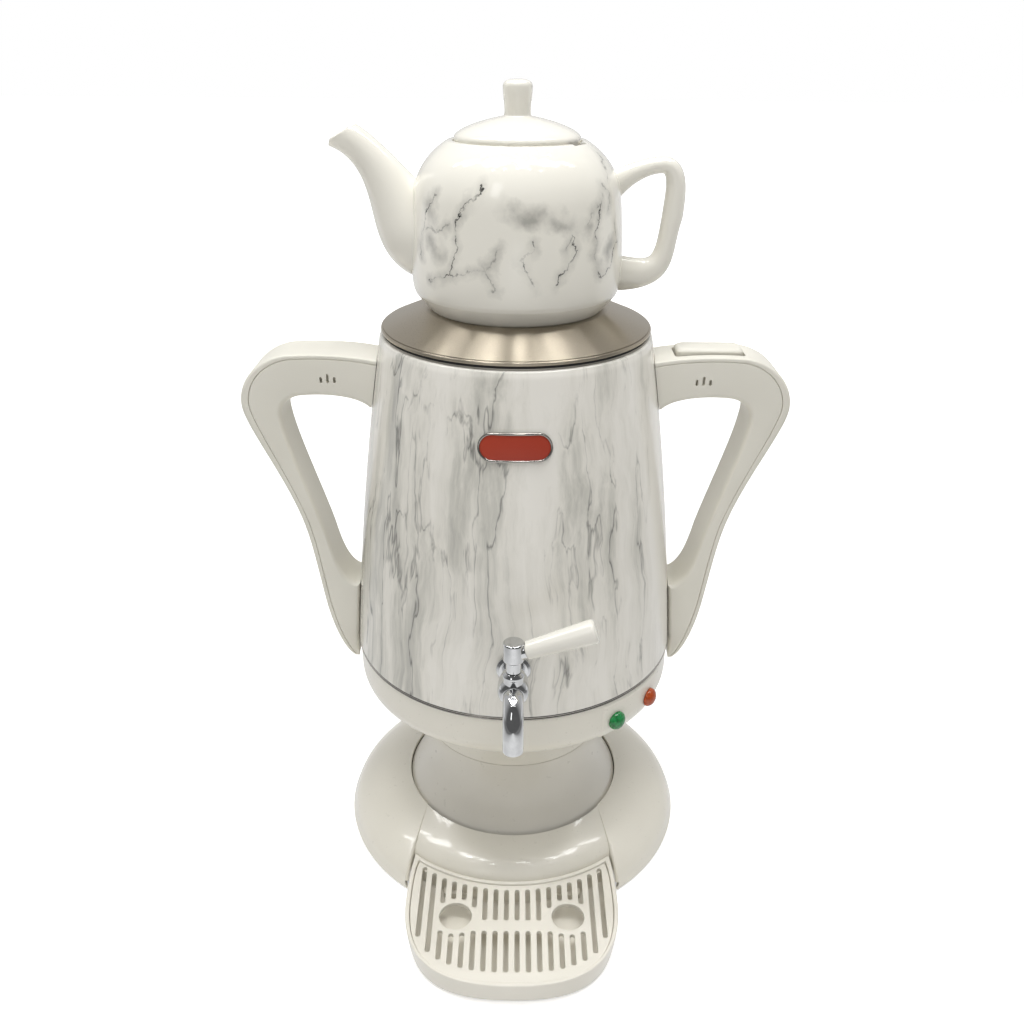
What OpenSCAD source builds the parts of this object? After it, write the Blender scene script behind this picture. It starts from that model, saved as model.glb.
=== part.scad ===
// Electric samovar: a water boiler on a pedestal, with a teapot warming on its lid,
// a turn-lever tap and a drip tray. Millimetres, +Z up, front towards -Y.
// The origin lies on the vertical axis, on the plane that the feet stand on.

/* [Base] */
// Radius of the base's skirt at its lower edge
base_r = 127.5; // [122:0.5:134]
// Height of the base's collar, where the neck stands
base_h = 32.5; // [30:0.5:36]
// Wall of the base cover
base_wall = 3; // [2.5:0.1:3.5]
// Height of the gap under the skirt
skirt_gap = 1.2; // [0.8:0.1:1.6]
// Radius of the apron's front wall, behind the drip tray
apron_r = 109.6; // [106:0.2:112]
// Half width of the notch for the drip tray, at its back corner
notch_w = 71.2; // [71:0.1:74]
// How far each notch side flares for each millimetre towards the front
notch_flare = 0.22; // [0.1:0.01:0.3]
// Radius of a rubber foot
foot_r = 8; // [6:0.5:10]
// Height of a rubber foot below the base plate
foot_h = 2; // [1.8:0.1:2.4]
// Distance of the feet from the axis
foot_ring_r = 92; // [86:1:94]
// Thickness of the base plate
plate_t = 2.5; // [2:0.1:3]

/* [Neck] */
// Height of the neck
neck_h = 50.5; // [44:0.5:60]
// Radius of the neck at its foot
neck_foot_r = 79.9; // [77:0.1:82]
// Radius of the neck at its top
neck_top_r = 65.7; // [62:0.1:68]
// Wall of the neck
neck_wall = 3; // [2.5:0.1:3.5]
// Radius of the cable opening through the neck's flanges
cable_r = 46; // [40:0.5:50]

/* [Bowl] */
// Radius of the bowl that holds the heater
bowl_r = 111.6; // [108:0.2:116]
// Height of the bowl with its foot
bowl_h = 76.6; // [72:0.2:84]
// Height of the straight band at the bowl's rim
bowl_band_h = 17; // [15:0.5:19]
// Wall of the bowl
bowl_wall = 3; // [2.5:0.1:3.5]
// How far the lamp panel stands out of the bowl
panel_t = 0.8; // [0.5:0.1:1.2]
// Height of the trim ring between bowl and shell
ring_h = 3; // [2.4:0.1:3.6]

/* [Shell] */
// Height of the tapered shell
shell_h = 219.8; // [190:0.5:240]
// Radius of the shell at its top
shell_top_r = 86.3; // [84:0.1:89]
// How far the shell bulges out of a plain cone
shell_bulge = 2.7; // [0:0.1:4]
// Sheet thickness of the shell
shell_wall = 1.2; // [0.8:0.1:1.6]

/* [Tank] */
// Air gap between tank and shell at the bottom
tank_gap_low = 14; // [12:0.5:16]
// Air gap between tank and shell at the top
tank_gap_top = 6; // [5.5:0.1:7]
// Sheet thickness of the tank
tank_wall = 1; // [0.8:0.1:1.2]
// Height of the tank's floor above the bowl's rim
tank_floor_rise = 6.4; // [5:0.2:9]
// Radius of the heater plate under the tank
heater_r = 58; // [50:1:60]

/* [Lid] */
// Height of the cone between its bead and the teapot's seat
cone_h = 12.8; // [10:0.2:16]
// Outer radius of the flat seat for the teapot
seat_r = 58; // [56:0.2:60]
// Radius of the steam opening
steam_r = 44.5; // [40:0.2:46]
// Sheet thickness of the lid
lid_wall = 1; // [0.8:0.1:1.2]
// Thickness of the lid's black seal
seal_t = 1.4; // [1:0.1:1.8]
// Depth of the skirt that centres the lid in the tank
lid_skirt_h = 16; // [12:0.5:20]

/* [Teapot] */
// Largest radius of the teapot's body
pot_r = 64.7; // [63:0.1:66.5]
// Height of the teapot's body up to its rim
pot_h = 97.5; // [92:0.5:104]
// Radius of the teapot's foot ring
pot_foot_r = 55; // [53:0.1:56]
// Radius of the mouth inside the lid's seat
pot_mouth_r = 33.5; // [30:0.1:35]
// Porcelain wall
pot_wall = 4; // [3:0.1:5]
// Reach of the spout's tip from the axis
spout_reach = 106; // [100:0.5:112]
// Reach of the teapot's handle from the axis
pot_handle_reach = 94.5; // [90:0.5:100]
// Height of the teapot lid's dome above its seat
pot_lid_h = 15.2; // [13:0.1:19]
// Height of the knob on the teapot's lid
knob_h = 19.6; // [15:0.1:22]
// Radius of that knob
knob_r = 8.7; // [7.6:0.1:10]

/* [Handles] */
// Depth of a handle from front to back
handle_d = 34; // [32:0.5:37]
// Reach of a handle beyond the bowl's radius
handle_reach = 65.4; // [60:0.2:72]
// Distance from the shell's lip down to the top of a handle
handle_drop = 12.9; // [10:0.1:18]
// Wall of the hollow handle shells
handle_wall = 2.6; // [2.2:0.1:3]
// Radius along the inner edges of a handle
handle_edge_r = 4; // [3:0.1:4.5]
// Height of the middle steam slot
slot_h = 6; // [4:0.5:7]
// Width of a steam slot
slot_w = 1.7; // [1.2:0.1:2]

/* [Switch] */
// Length of the rocker button
rocker_l = 42.6; // [38:0.2:44]
// Width of the rocker button
rocker_w = 19; // [16:0.2:20]
// Height of the button's crown above the handle's cover
rocker_rise = 4.6; // [3.6:0.1:5.4]
// Running gap round the button
rocker_gap = 1.1; // [0.9:0.1:1.4]
// Radius of the pin that the button rocks on
pin_r = 1.2; // [1:0.05:1.5]

/* [Tap] */
// Height of the tap's bore above the shell's lower edge
tap_rise = 36.4; // [32:0.2:42]
// Distance from the shell to the tap's upright axis
tap_reach = 23.6; // [22:0.2:28]
// Radius of the tap's round body
globe_r = 9.7; // [9:0.1:10.4]
// Radius of the spout
spout_r = 6.2; // [5.6:0.1:6.8]
// Radius of the water way
way_r = 3.2; // [2.4:0.1:3.4]
// Drop of the spout below the tap's bore
spout_drop = 26.5; // [22:0.5:32]
// Radius of the turning plug
plug_r = 4.8; // [4.4:0.1:5.2]
// Radius of the turret cap
cap_r = 6.3; // [5.8:0.1:6.8]
// Height of the turret cap
cap_h = 12.6; // [11.5:0.1:15]
// Length of the lever from the tap's axis
lever_l = 51.3; // [44:0.1:60]
// Angle at which the lever rises
lever_rise = 19.5; // [14:0.5:24]
// Radius of the lever at its root
lever_root_r = 5.6; // [4.8:0.1:5.8]
// Radius of the lever at its free end
lever_end_r = 7.5; // [6.4:0.1:8]

/* [Drip tray] */
// Height of the drip tray's rim above the table
tray_h = 18; // [17:0.2:20]
// Half width of the drip tray
tray_w = 72.7; // [72:0.1:74]
// Distance from the axis to the tray's front edge
tray_front = 194.3; // [186:0.5:206]
// Wall of the drip tray
tray_wall = 3; // [2.4:0.1:3.2]
// Thickness of the grille
grille_t = 3; // [2.4:0.1:3.6]
// Distance between neighbouring slots of the grille
slot_pitch = 7.3; // [6.8:0.1:7.6]
// Width of a slot of the grille
grille_slot_w = 3.3; // [2.6:0.1:3.8]
// Radius of a finger hole in the grille
finger_r = 11; // [9.5:0.1:11.5]
// Half the distance between the finger holes
finger_x = 38; // [36:0.5:40]

/* [Badge and lamps] */
// Width of the plain badge with its frame
badge_w = 44; // [36:0.5:52]
// Height of the badge with its frame
badge_h = 17.4; // [14:0.2:20]
// Radius of a pilot lamp's lens
lamp_r = 6.5; // [5.4:0.1:7]

/* [Fits] */
// Clearance between pieces that are lifted apart
lift_gap = 0.5; // [0.4:0.05:0.7]
// Gap between curved faces that lie next to each other
skin_gap = 0.35; // [0.3:0.05:0.45]
// Radial clearance of a turning fit
run_gap = 0.06; // [0.04:0.01:0.08]
// Radial clearance of a screw in its hole
screw_gap = 0.1; // [0.06:0.01:0.15]
// Smoothness of round pieces
round_n = 96; // [64:8:128]

/* [Hidden] */

ivory = "#e9e4d6";
steel = "#b9b2a6";
chrome = "#d8dadc";
white = "#f4f3ef";
black = "#26241f";

// Levels of the joints between the big pieces, from the table up
z_plate = foot_h;
z_plate_top = z_plate + plate_t;
z_neck_seat = base_h - 3;
z_neck = base_h + neck_h;
z_rim = z_neck + bowl_h;
z_shell = z_rim + ring_h;
z_lip = z_shell + shell_h;
z_tank = z_rim + tank_floor_rise;
z_seal = z_lip + tank_wall;
z_bead = z_seal + seal_t;
z_seat = z_bead + 1.1 + cone_h;
z_pot_rim = z_seat + pot_h;
shell_low_r = bowl_r + 0.7;
flange_t = 3;
flange_in_r = cable_r + 12;
eps = 0.02;

// Points of a cubic curve from a to d, with b and c as its handles
function curve(a, b, c, d, n) = [for (i = [0:n]) let (t = i / n, u = 1 - t)
    u * u * u * a + 3 * u * u * t * b + 3 * u * t * t * c + t * t * t * d];
// Points of an arc about c
function arc(c, r, from, to, n) = [for (i = [0:n]) let (a = from + (to - from) * i / n)
    c + r * [cos(a), sin(a)]];
// A list without its first point, for joining curves end to end
function rest(p) = [for (i = [1:len(p) - 1]) p[i]];
function flip(p) = [for (i = [len(p) - 1:-1:0]) p[i]];
function mirrored(p) = [for (q = flip(p)) [-q[0], q[1]]];
function mix(a, b, t) = a + (b - a) * t;
// The shell's outer radius at height z
function shell_r(z) = let (t = (z - z_shell) / shell_h)
    mix(shell_low_r, shell_top_r, t) + shell_bulge * 4 * t * (1 - t);
// The tank's outer radius at height z: its wall is a cone from the floor's corner to the mouth
function tank_r(z) = mix(shell_low_r - tank_gap_low, mouth_r,
    (z - z_tank - tank_corner) / (z_lip - 4 - z_tank - tank_corner));

module turned(profile) {
    rotate_extrude($fn = round_n) polygon(profile);
}
// Places its children with their +Z axis turned to face the front, at depth y
module facing_front(x, y, z) {
    translate([x, y, z]) rotate([90, 0, 0]) children();
}
module at_ring(angles, r, z) {
    for (a = angles) translate([r * cos(a), r * sin(a), z]) children();
}
// A screw with its head below z = 0 and its shank above
module screw(head_r, head_h, shank_r, shank_l) {
    translate([0, 0, -head_h]) cylinder(r = head_r, h = head_h, $fn = 32);
    translate([0, 0, -eps]) cylinder(r = shank_r, h = shank_l + eps, $fn = 32);
}
// Skin through rings of m points each, closed by a fan at both ends
module skin(rings) {
    n = len(rings);
    m = len(rings[0]);
    pts = [for (ring = rings) for (p = ring) p];
    sides = [for (i = [0:n - 2]) for (j = [0:m - 1]) let (k = (j + 1) % m)
        each [[i * m + j, i * m + k, (i + 1) * m + j], [i * m + k, (i + 1) * m + k, (i + 1) * m + j]]];
    ends = [for (j = [0:m / 2 - 2]) let (a = j, b = j + 1, c = m - 2 - j, d = m - 1 - j)
        each [[a, d, b], [b, d, c],
            [(n - 1) * m + a, (n - 1) * m + b, (n - 1) * m + d],
            [(n - 1) * m + b, (n - 1) * m + c, (n - 1) * m + d]]];
    polyhedron(pts, concat(sides, ends), convexity = 6);
}

// ---- Base -------------------------------------------------------------------------------------
screw_r = 1.5;
screw_head_r = 3.2;
screw_head_h = 2;
boss_h = 11;
thread_l = 8;
base_screw_ring_r = 88;
base_screw_angles = [30, 150, 210, 330];
neck_screw_ring_r = 66;
neck_screw_angles = [45, 135, 225, 315];
foot_angles = [45, 135, 225, 315];
foot_peg_r = 3;
boss_r = 4.5;
tongue_w = 48;
tongue_z = 3.6;
tongue_t = 4;
tongue_l = 16;
tongue_gap = 0.4;
collar_w = 0.5;
ledge_w = 6;
base_screw_l = 13;
plate_edge = 2.5;

// Half width of the notch at the depth y, grown by a wall
function notch_x(y, grow) = notch_w + notch_flare * (y - 84) + grow;
// The front sector that the notch and the apron take up
module sector(grow) {
    far = base_r + 20;
    linear_extrude(2 * base_h)
        polygon([[-notch_x(0, grow), 0], [-notch_x(far, grow), -far], [notch_x(far, grow), -far],
            [notch_x(0, grow), 0]]);
}
// The dome's section, inset by a wall
function dome_edge(w) = concat(
    [[0, base_h - w], [neck_foot_r + collar_w, base_h - w]],
    rest(curve([neck_foot_r + collar_w, base_h - w], [mix(neck_foot_r, base_r, 0.38), base_h - 6.7 - w],
        [base_r - 5.5 - w, base_h - 12 - w / 2], [base_r - 2.1 - w, 6], 14)),
    [[base_r - w, skirt_gap], [0, skirt_gap]]);
// The apron's section: a little lower than the dome, rounded over above its front wall
function apron_edge(w) = concat(
    [[0, base_h - w], [neck_foot_r + collar_w, base_h - w]],
    rest(curve([neck_foot_r + collar_w, base_h - w], [mix(neck_foot_r, apron_r, 0.5), base_h - 6.5 - w],
        [apron_r - 1.5 - w, base_h - 8.5 - w], [apron_r - w, base_h - 17 - w / 2], 14)),
    [[apron_r - w, skirt_gap], [0, skirt_gap]]);
module base_solid(w) {
    difference() {
        turned(dome_edge(w));
        sector(w);
    }
    turned(apron_edge(w));
}
module base_cover() {
    color(ivory) difference() {
        base_solid(0);
        difference() {
            translate([0, 0, -eps]) base_solid(base_wall);
            // Bosses for the plate's screws
            at_ring(base_screw_angles, base_screw_ring_r, z_plate_top)
                cylinder(r = boss_r, h = base_h, $fn = 48);
        }
        // Clear inside of the collar, below the ledge
        translate([0, 0, -eps])
            cylinder(r = neck_foot_r - ledge_w, h = z_neck_seat - base_wall + eps, $fn = round_n);
        translate([0, 0, -eps]) cylinder(r = flange_in_r, h = base_h + 1, $fn = round_n);
        // The neck's foot stands in this recess
        translate([0, 0, z_neck_seat]) cylinder(r = neck_foot_r + collar_w, h = base_h, $fn = round_n);
        at_ring(base_screw_angles, base_screw_ring_r, z_plate_top - eps)
            cylinder(r = screw_r + screw_gap / 2, h = base_screw_l + 1, $fn = 32);
        at_ring(neck_screw_angles, neck_screw_ring_r, 0)
            cylinder(r = screw_r + screw_gap, h = base_h, $fn = 32);
        // The drip tray's tongue slides in through the apron
        translate([-tongue_w - tongue_gap, -base_r, skirt_gap - 1])
            cube([2 * (tongue_w + tongue_gap), base_r - apron_r + tongue_l + 2,
                tongue_z + tongue_t + tongue_gap - skirt_gap + 1]);
    }
}
module base_plate() {
    color(black) translate([0, 0, z_plate]) difference() {
        union() {
            difference() {
                cylinder(r = base_r - base_wall - plate_edge, h = plate_t, $fn = round_n);
                translate([0, 0, -base_h / 2]) sector(base_wall + lift_gap);
            }
            intersection() {
                cylinder(r = apron_r - base_wall - lift_gap, h = plate_t, $fn = round_n);
                translate([0, 0, -base_h / 2]) sector(-lift_gap);
            }
            cylinder(r = foot_ring_r - foot_r / 2, h = plate_t, $fn = round_n);
        }
        at_ring(foot_angles, foot_ring_r, -eps) cylinder(r = foot_peg_r + 0.05, h = plate_t + 1, $fn = 32);
        at_ring(base_screw_angles, base_screw_ring_r, -eps)
            cylinder(r = screw_r + screw_gap, h = plate_t + 1, $fn = 32);
        translate([-tongue_w - 2, -base_r, -eps])
            cube([2 * tongue_w + 4, base_r - apron_r + tongue_l + 6, plate_t + 1]);
    }
}
module base_screws() {
    color(steel) at_ring(base_screw_angles, base_screw_ring_r, z_plate)
        screw(screw_head_r, plate_t - 1.5, screw_r, base_screw_l);
}
module rubber_feet() {
    color(black) at_ring(foot_angles, foot_ring_r, 0) {
        turned_foot = [[0, 0], [foot_r - 0.6, 0], [foot_r, 0.6], [foot_r, foot_h], [foot_peg_r, foot_h],
            [foot_peg_r, foot_h + plate_t], [0, foot_h + plate_t]];
        rotate_extrude($fn = 48) polygon(turned_foot);
    }
}

// ---- Neck -------------------------------------------------------------------------------------
// The neck's flare from its foot to its top, inset by a wall
function neck_edge(w) = curve([neck_foot_r - w, z_neck_seat],
    [mix(neck_foot_r, neck_top_r, 0.66) - w, base_h + 13.5],
    [neck_top_r - 1.7 - w, z_neck - 0.42 * neck_h], [neck_top_r - w, z_neck], 16);
module neck_column() {
    color(ivory) difference() {
        union() {
            turned(concat(neck_edge(0), flip(neck_edge(neck_wall))));
            // Foot flange and top flange
            translate([0, 0, z_neck_seat]) difference() {
                cylinder(r = neck_foot_r - 1.5, h = flange_t, $fn = round_n);
                translate([0, 0, -eps]) cylinder(r = flange_in_r, h = flange_t + 1, $fn = round_n);
            }
            translate([0, 0, z_neck - flange_t]) difference() {
                cylinder(r = neck_top_r - 1, h = flange_t, $fn = round_n);
                translate([0, 0, -eps]) cylinder(r = cable_r, h = flange_t + 1, $fn = round_n);
            }
            at_ring(neck_screw_angles, neck_screw_ring_r, z_neck_seat)
                cylinder(r = boss_r, h = boss_h, $fn = 48);
        }
        at_ring(neck_screw_angles, neck_screw_ring_r, z_neck_seat - eps)
            cylinder(r = screw_r + screw_gap / 2, h = boss_h - 2, $fn = 32);
        at_ring(bowl_screw_angles, bowl_screw_ring_r, z_neck - flange_t - 1)
            cylinder(r = screw_r + screw_gap, h = flange_t + 2, $fn = 32);
    }
}
module neck_screws() {
    color(steel) at_ring(neck_screw_angles, neck_screw_ring_r, z_neck_seat - flange_t)
        screw(screw_head_r, screw_head_h, screw_r, flange_t + thread_l);
}

// ---- Bowl -------------------------------------------------------------------------------------
bowl_screw_angles = [0, 90, 180, 270];
bowl_screw_ring_r = cable_r + 6;
stud_angles = [30, 150, 270];
stud_ring_r = neck_top_r + 12.3;
z_bowl_low = z_neck + 40;
post_r = 6;
z_post = z_bowl_low - 3;
lamp_z = z_rim - 16.3;
lamp_green_a = 37.5;
lamp_orange_a = 55.5;
inlet_z = z_rim - 14;
inlet_w = 28;
inlet_h = 21;
inlet_y = bowl_r + 1.4;
inlet_depth = 18;
inlet_back = 20;
shelf_x = bowl_r - 17.6;
shelf_l = 17;
shelf_w = 38;
shelf_t = 4;
panel_from = lamp_green_a - 4.5;
panel_span = 29;

// The bowl's section: a short foot, a flat belly and a round corner under the band
function bowl_edge(w) = let (band_z = z_rim - bowl_band_h) concat(
    [[neck_top_r - w, z_neck]],
    curve([neck_top_r - w, z_neck + 21], [neck_top_r - w + 0.2, z_bowl_low - 7 + w],
        [neck_top_r - w + 6.3, z_bowl_low - 1.5 + w], [neck_top_r - w + 18.3, z_bowl_low + 0.4 + w], 8),
    curve([bowl_r - 13.6, z_bowl_low + 2.6 + w], [bowl_r - 5.6 - w / 2, z_bowl_low + 3.8 + w],
        [bowl_r - w, band_z - 10 + w], [bowl_r - w, band_z + w / 3], 10),
    [[bowl_r - w, z_rim]]);
// Turns its children, which point outwards along +X, to the angle a from the front
module around_bowl(a, z) {
    translate([0, 0, z]) rotate([0, 0, a - 90]) rotate([0, 90, 0]) children();
}
module bowl_housing() {
    panel_low = z_rim - bowl_band_h - 8;
    color(ivory) difference() {
        union() {
            turned(concat(bowl_edge(0), flip(bowl_edge(bowl_wall))));
            // Foot flange with the screw bosses
            translate([0, 0, z_neck]) difference() {
                cylinder(r = neck_top_r - 1, h = flange_t, $fn = round_n);
                translate([0, 0, -eps]) cylinder(r = cable_r, h = flange_t + 1, $fn = round_n);
            }
            at_ring(bowl_screw_angles, bowl_screw_ring_r, z_neck) cylinder(r = boss_r, h = boss_h, $fn = 48);
            // Posts that carry the tank
            at_ring(stud_angles, stud_ring_r, z_post) cylinder(r = post_r, h = z_tank - z_post, $fn = 48);
            // Shelf for the terminal block
            translate([-shelf_x, -shelf_w / 2, z_bowl_low + 2]) cube([shelf_l, shelf_w, shelf_t]);
            // Raised panel behind the two lamps
            intersection() {
                turned([[bowl_r - 1, z_rim - 2.4], [bowl_r - 1, panel_low + 2], [bowl_r - 0.4, panel_low + 2],
                    [bowl_r + panel_t, panel_low + 8], [bowl_r + panel_t, z_rim - 3]]);
                rotate([0, 0, panel_from - 90]) linear_extrude(2 * z_rim) polygon([[0, 0],
                    [2 * bowl_r, 0], [2 * bowl_r * cos(panel_span), 2 * bowl_r * sin(panel_span)]]);
            }
            // Flat pad behind the power inlet
            translate([-inlet_w / 2 - 4, bowl_r - 6, inlet_z - inlet_h / 2 - 2])
                cube([inlet_w + 8, inlet_y - bowl_r + 6, inlet_h + 4]);
        }
        for (a = [lamp_green_a, lamp_orange_a]) around_bowl(a, lamp_z)
            translate([0, 0, bowl_r - lamp_stem_l])
                cylinder(r = lamp_stem_r + screw_gap, h = 2 * lamp_stem_l, $fn = 48);
        translate([-inlet_w / 2 + 1, inlet_y - inlet_back, inlet_z - inlet_h / 2 + 1])
            cube([inlet_w - 2, 2 * inlet_back, inlet_h - 2]);
        at_ring(bowl_screw_angles, bowl_screw_ring_r, z_neck - eps)
            cylinder(r = screw_r + screw_gap / 2, h = boss_h - 2, $fn = 32);
        at_ring(stud_angles, stud_ring_r, z_post - 1) cylinder(r = stud_r + screw_gap, h = z_tank, $fn = 32);
    }
}
module bowl_screws() {
    color(steel) at_ring(bowl_screw_angles, bowl_screw_ring_r, z_neck - flange_t)
        screw(screw_head_r, screw_head_h, screw_r, flange_t + thread_l);
}
// Thin steel ring with two beads, clamped between the bowl and the shell
module trim_ring() {
    bead = ring_h / 4;
    color(steel) turned(concat([[bowl_r - bowl_wall, z_rim]],
        arc([bowl_r + 0.1, z_rim + bead], bead, -90, 80, 8),
        arc([bowl_r + 0.1, z_rim + 3 * bead], bead, -80, 90, 8),
        [[bowl_r - bowl_wall, z_shell]]));
}

// ---- Shell and tank ---------------------------------------------------------------------------
lip_r = 2;
lip_w = 4.4;
tap_z = z_shell + tap_rise;
tail_r = 7;
// The shell's outer line from its lower edge to where the lip begins
function shell_edge(w) = [for (i = [0:18]) let (z = mix(z_shell, z_lip - lip_r, i / 18)) [shell_r(z) - w, z]];
// A short stretch of the shell's form as a plain cone, grown by w
module shell_solid(w, low, high) {
    translate([0, 0, low]) cylinder(r1 = shell_r(low) + w, r2 = shell_r(high) + w, h = high - low, $fn = 360);
}
module marble_shell() {
    top_r = shell_r(z_lip - lip_r);
    color("#eceae4") difference() {
        turned(concat(shell_edge(0), rest(arc([top_r - lip_r, z_lip - lip_r], lip_r, 0, 90, 6)),
            [[top_r - lip_w, z_lip], [top_r - lip_w, z_lip - shell_wall]],
            arc([top_r - lip_r, z_lip - lip_r], lip_r - shell_wall, 90, 0, 4),
            rest(flip(shell_edge(shell_wall)))));
        // Hole for the tap's threaded tail
        facing_front(0, 0, tap_z) cylinder(r = tail_r + screw_gap, h = 2 * bowl_r, $fn = 48);
        handle_screw_places() cylinder(r = screw_r + screw_gap, h = 4 * lip_w, center = true, $fn = 32);
    }
}
tank_corner = 8;
mouth_r = shell_top_r - shell_wall - tank_gap_top;
flange_r = shell_top_r - lip_r - 0.1;
function tank_edge(w) = concat([[0, z_tank + w]],
    arc([tank_r(z_tank + tank_corner) - tank_corner, z_tank + tank_corner], tank_corner - w, -90, 0, 6),
    [[mouth_r - w, z_lip - 4]]);
module inner_tank() {
    color(steel) difference() {
        turned(concat(tank_edge(0), [[mouth_r, z_lip], [flange_r, z_lip], [flange_r, z_lip + tank_wall],
            [mouth_r - tank_wall, z_lip + tank_wall]], flip(tank_edge(tank_wall))));
        facing_front(0, 0, tap_z) cylinder(r = tail_r + screw_gap, h = 2 * bowl_r, $fn = 48);
    }
}
stud_r = 2;
nut_t = 3;
nut_r = 4;
// Studs welded under the tank; they hold it down on the bowl's posts
module tank_studs() {
    low = z_post - nut_t - 2;
    color(steel) at_ring(stud_angles, stud_ring_r, low) cylinder(r = stud_r, h = z_tank - low, $fn = 32);
}
module tank_nuts() {
    color(steel) at_ring(stud_angles, stud_ring_r, z_post - nut_t) difference() {
        cylinder(r = nut_r, h = nut_t, $fn = 6);
        translate([0, 0, -eps]) cylinder(r = stud_r + screw_gap, h = 2 * nut_t, $fn = 32);
    }
}

// ---- Heater and wiring ------------------------------------------------------------------------
heater_t = 5;
element_r = 3.3;
element_inset = 14;
element_drop = 16;
cutout_r = 14;
cutout_t = 9;
blade_h = 8;
block_l = 14;
block_w = 36;
block_h = 11;
block_x = shelf_x - 1;
module heater_plate() {
    color("#c9cbcd") translate([0, 0, z_tank - heater_t]) cylinder(r = heater_r, h = heater_t, $fn = round_n);
}
// Tubular element brazed under the plate, with its two cold ends turned down
module heating_element() {
    ring_r = heater_r - element_inset;
    open_a = 16;
    z_ring = z_tank - heater_t - element_r;
    color("#8d8a85") rotate([0, 0, 90 + open_a]) {
        translate([0, 0, z_ring]) rotate_extrude(angle = 360 - 2 * open_a, $fn = 64)
            translate([ring_r, 0]) circle(r = element_r, $fn = 32);
        for (a = [0.8, -2 * open_a - 0.8]) rotate([0, 0, a]) translate([ring_r, 0, z_ring - element_drop])
            cylinder(r = element_r - 0.8, h = element_drop + 1, $fn = 32);
    }
}
module dry_boil_cutout() {
    z_top = z_tank - heater_t;
    color(black) translate([0, 0, z_top - cutout_t]) {
        cylinder(r = cutout_r, h = cutout_t, $fn = 48);
        for (x = [-0.5, 0.5]) translate([x * cutout_r - 0.4, -3, -blade_h]) cube([0.8, 6, blade_h + eps]);
    }
}
module terminal_block() {
    color("#ded8c8") difference() {
        translate([-block_x, -block_w / 2, z_bowl_low + 2 + shelf_t]) cube([block_l, block_w, block_h]);
        for (y = [-1, 0, 1]) translate([block_l / 2 - block_x, y * block_w / 3, z_bowl_low + 6 + shelf_t])
            cylinder(r = 2.2, h = block_h, $fn = 32);
    }
}

// ---- Power inlet at the back ------------------------------------------------------------------
pin_z = [-1.6, 2.4, -1.6];
module power_inlet() {
    color(black) difference() {
        union() {
            translate([-inlet_w / 2 - 2, inlet_y, inlet_z - inlet_h / 2 - 2])
                cube([inlet_w + 4, 2, inlet_h + 4]);
            translate([-inlet_w / 2 + 1.2, inlet_y - inlet_depth, inlet_z - inlet_h / 2 + 1.2])
                cube([inlet_w - 2.4, inlet_depth + eps, inlet_h - 2.4]);
        }
        translate([0, inlet_y + 3, inlet_z]) rotate([90, 0, 0]) linear_extrude(inlet_depth)
            polygon([[-11.8, -8], [11.8, -8],
            [11.8, 4], [8, 8], [-8, 8], [-11.8, 4]]);
        for (i = [0:2]) translate([7 * (i - 1) - 1.05, inlet_y - inlet_depth - 1,
            inlet_z + pin_z[i] - 2.05]) cube([2.1, 6, 4.1]);
    }
}
module inlet_pins() {
    color(steel) for (i = [0:2]) translate([7 * (i - 1) - 1, inlet_y - 24, inlet_z + pin_z[i] - 2])
        cube([2, 22, 4]);
}

// ---- Pilot lamps ------------------------------------------------------------------------------
lamp_stem_r = lamp_r - 1.1;
lamp_dome = 4.4;
lamp_stem_l = 8;
socket_l = 14;
module lamp(a, tint) {
    seat = bowl_r + panel_t + 0.15;
    color(tint) around_bowl(a, lamp_z) rotate_extrude($fn = 48) polygon(concat(
        [[0, seat - lamp_stem_l], [lamp_stem_r, seat - lamp_stem_l], [lamp_stem_r, seat],
            [lamp_r, seat], [lamp_r, seat + 0.8]],
        [for (i = [1:7]) [lamp_r * cos(i * 90 / 7), seat + 0.8 + lamp_dome * sin(i * 90 / 7)]]));
}
module lamp_green() {
    lamp(lamp_green_a, "#2f8f52");
}
module lamp_orange() {
    lamp(lamp_orange_a, "#d9663a");
}
module lamp_sockets() {
    color(black) for (a = [lamp_green_a, lamp_orange_a]) around_bowl(a, lamp_z)
        translate([0, 0, bowl_r + panel_t + 0.15 - lamp_stem_l - socket_l])
            cylinder(r = lamp_stem_r, h = socket_l, $fn = 48);
}

// ---- Badge ------------------------------------------------------------------------------------
badge_z = z_lip - 42.9;
badge_rim = 1.4;
badge_t = 1.6;
// A pill seen from the front, cut out of a layer of the given depth on the shell
module badge_layer(w, h, from, to) {
    intersection() {
        difference() {
            shell_solid(to, badge_z - h / 2 - 1, badge_z + h / 2 + 1);
            shell_solid(from, badge_z - h / 2 - 1 - eps, badge_z + h / 2 + 1 + eps);
        }
        facing_front(0, 0, badge_z) linear_extrude(2 * bowl_r) {
            square([w - h, h], center = true);
            for (x = [-1, 1]) translate([x * (w - h) / 2, 0]) circle(d = h, $fn = 64);
        }
    }
}
module badge_frame() {
    color(steel) difference() {
        badge_layer(badge_w, badge_h, 0.12, badge_t);
        badge_layer(badge_w - 2 * badge_rim, badge_h - 2 * badge_rim, 0.5, badge_t + 1);
    }
}
module badge_plate() {
    color("#b5402c") badge_layer(badge_w - 2 * badge_rim - 0.2,
        badge_h - 2 * badge_rim - 0.2, 0.5, badge_t - 0.2);
}

// ---- Handles ----------------------------------------------------------------------------------
// Both handles are one shape, mirrored. Each is a hollow shell that faces the body, closed by a
// cover along its back. Three lines in the XZ plane describe it, with as many points each: palm (the
// inner face), seam (where shell and cover meet) and spine (the back of the cover).
z_arm = z_lip - handle_drop;
x_out = bowl_r + handle_reach;
arm_h = 36;
pad_tip_z = z_shell - 23.5;
pad_top_z = z_shell + 40.4;
half_d = handle_d / 2;
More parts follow.
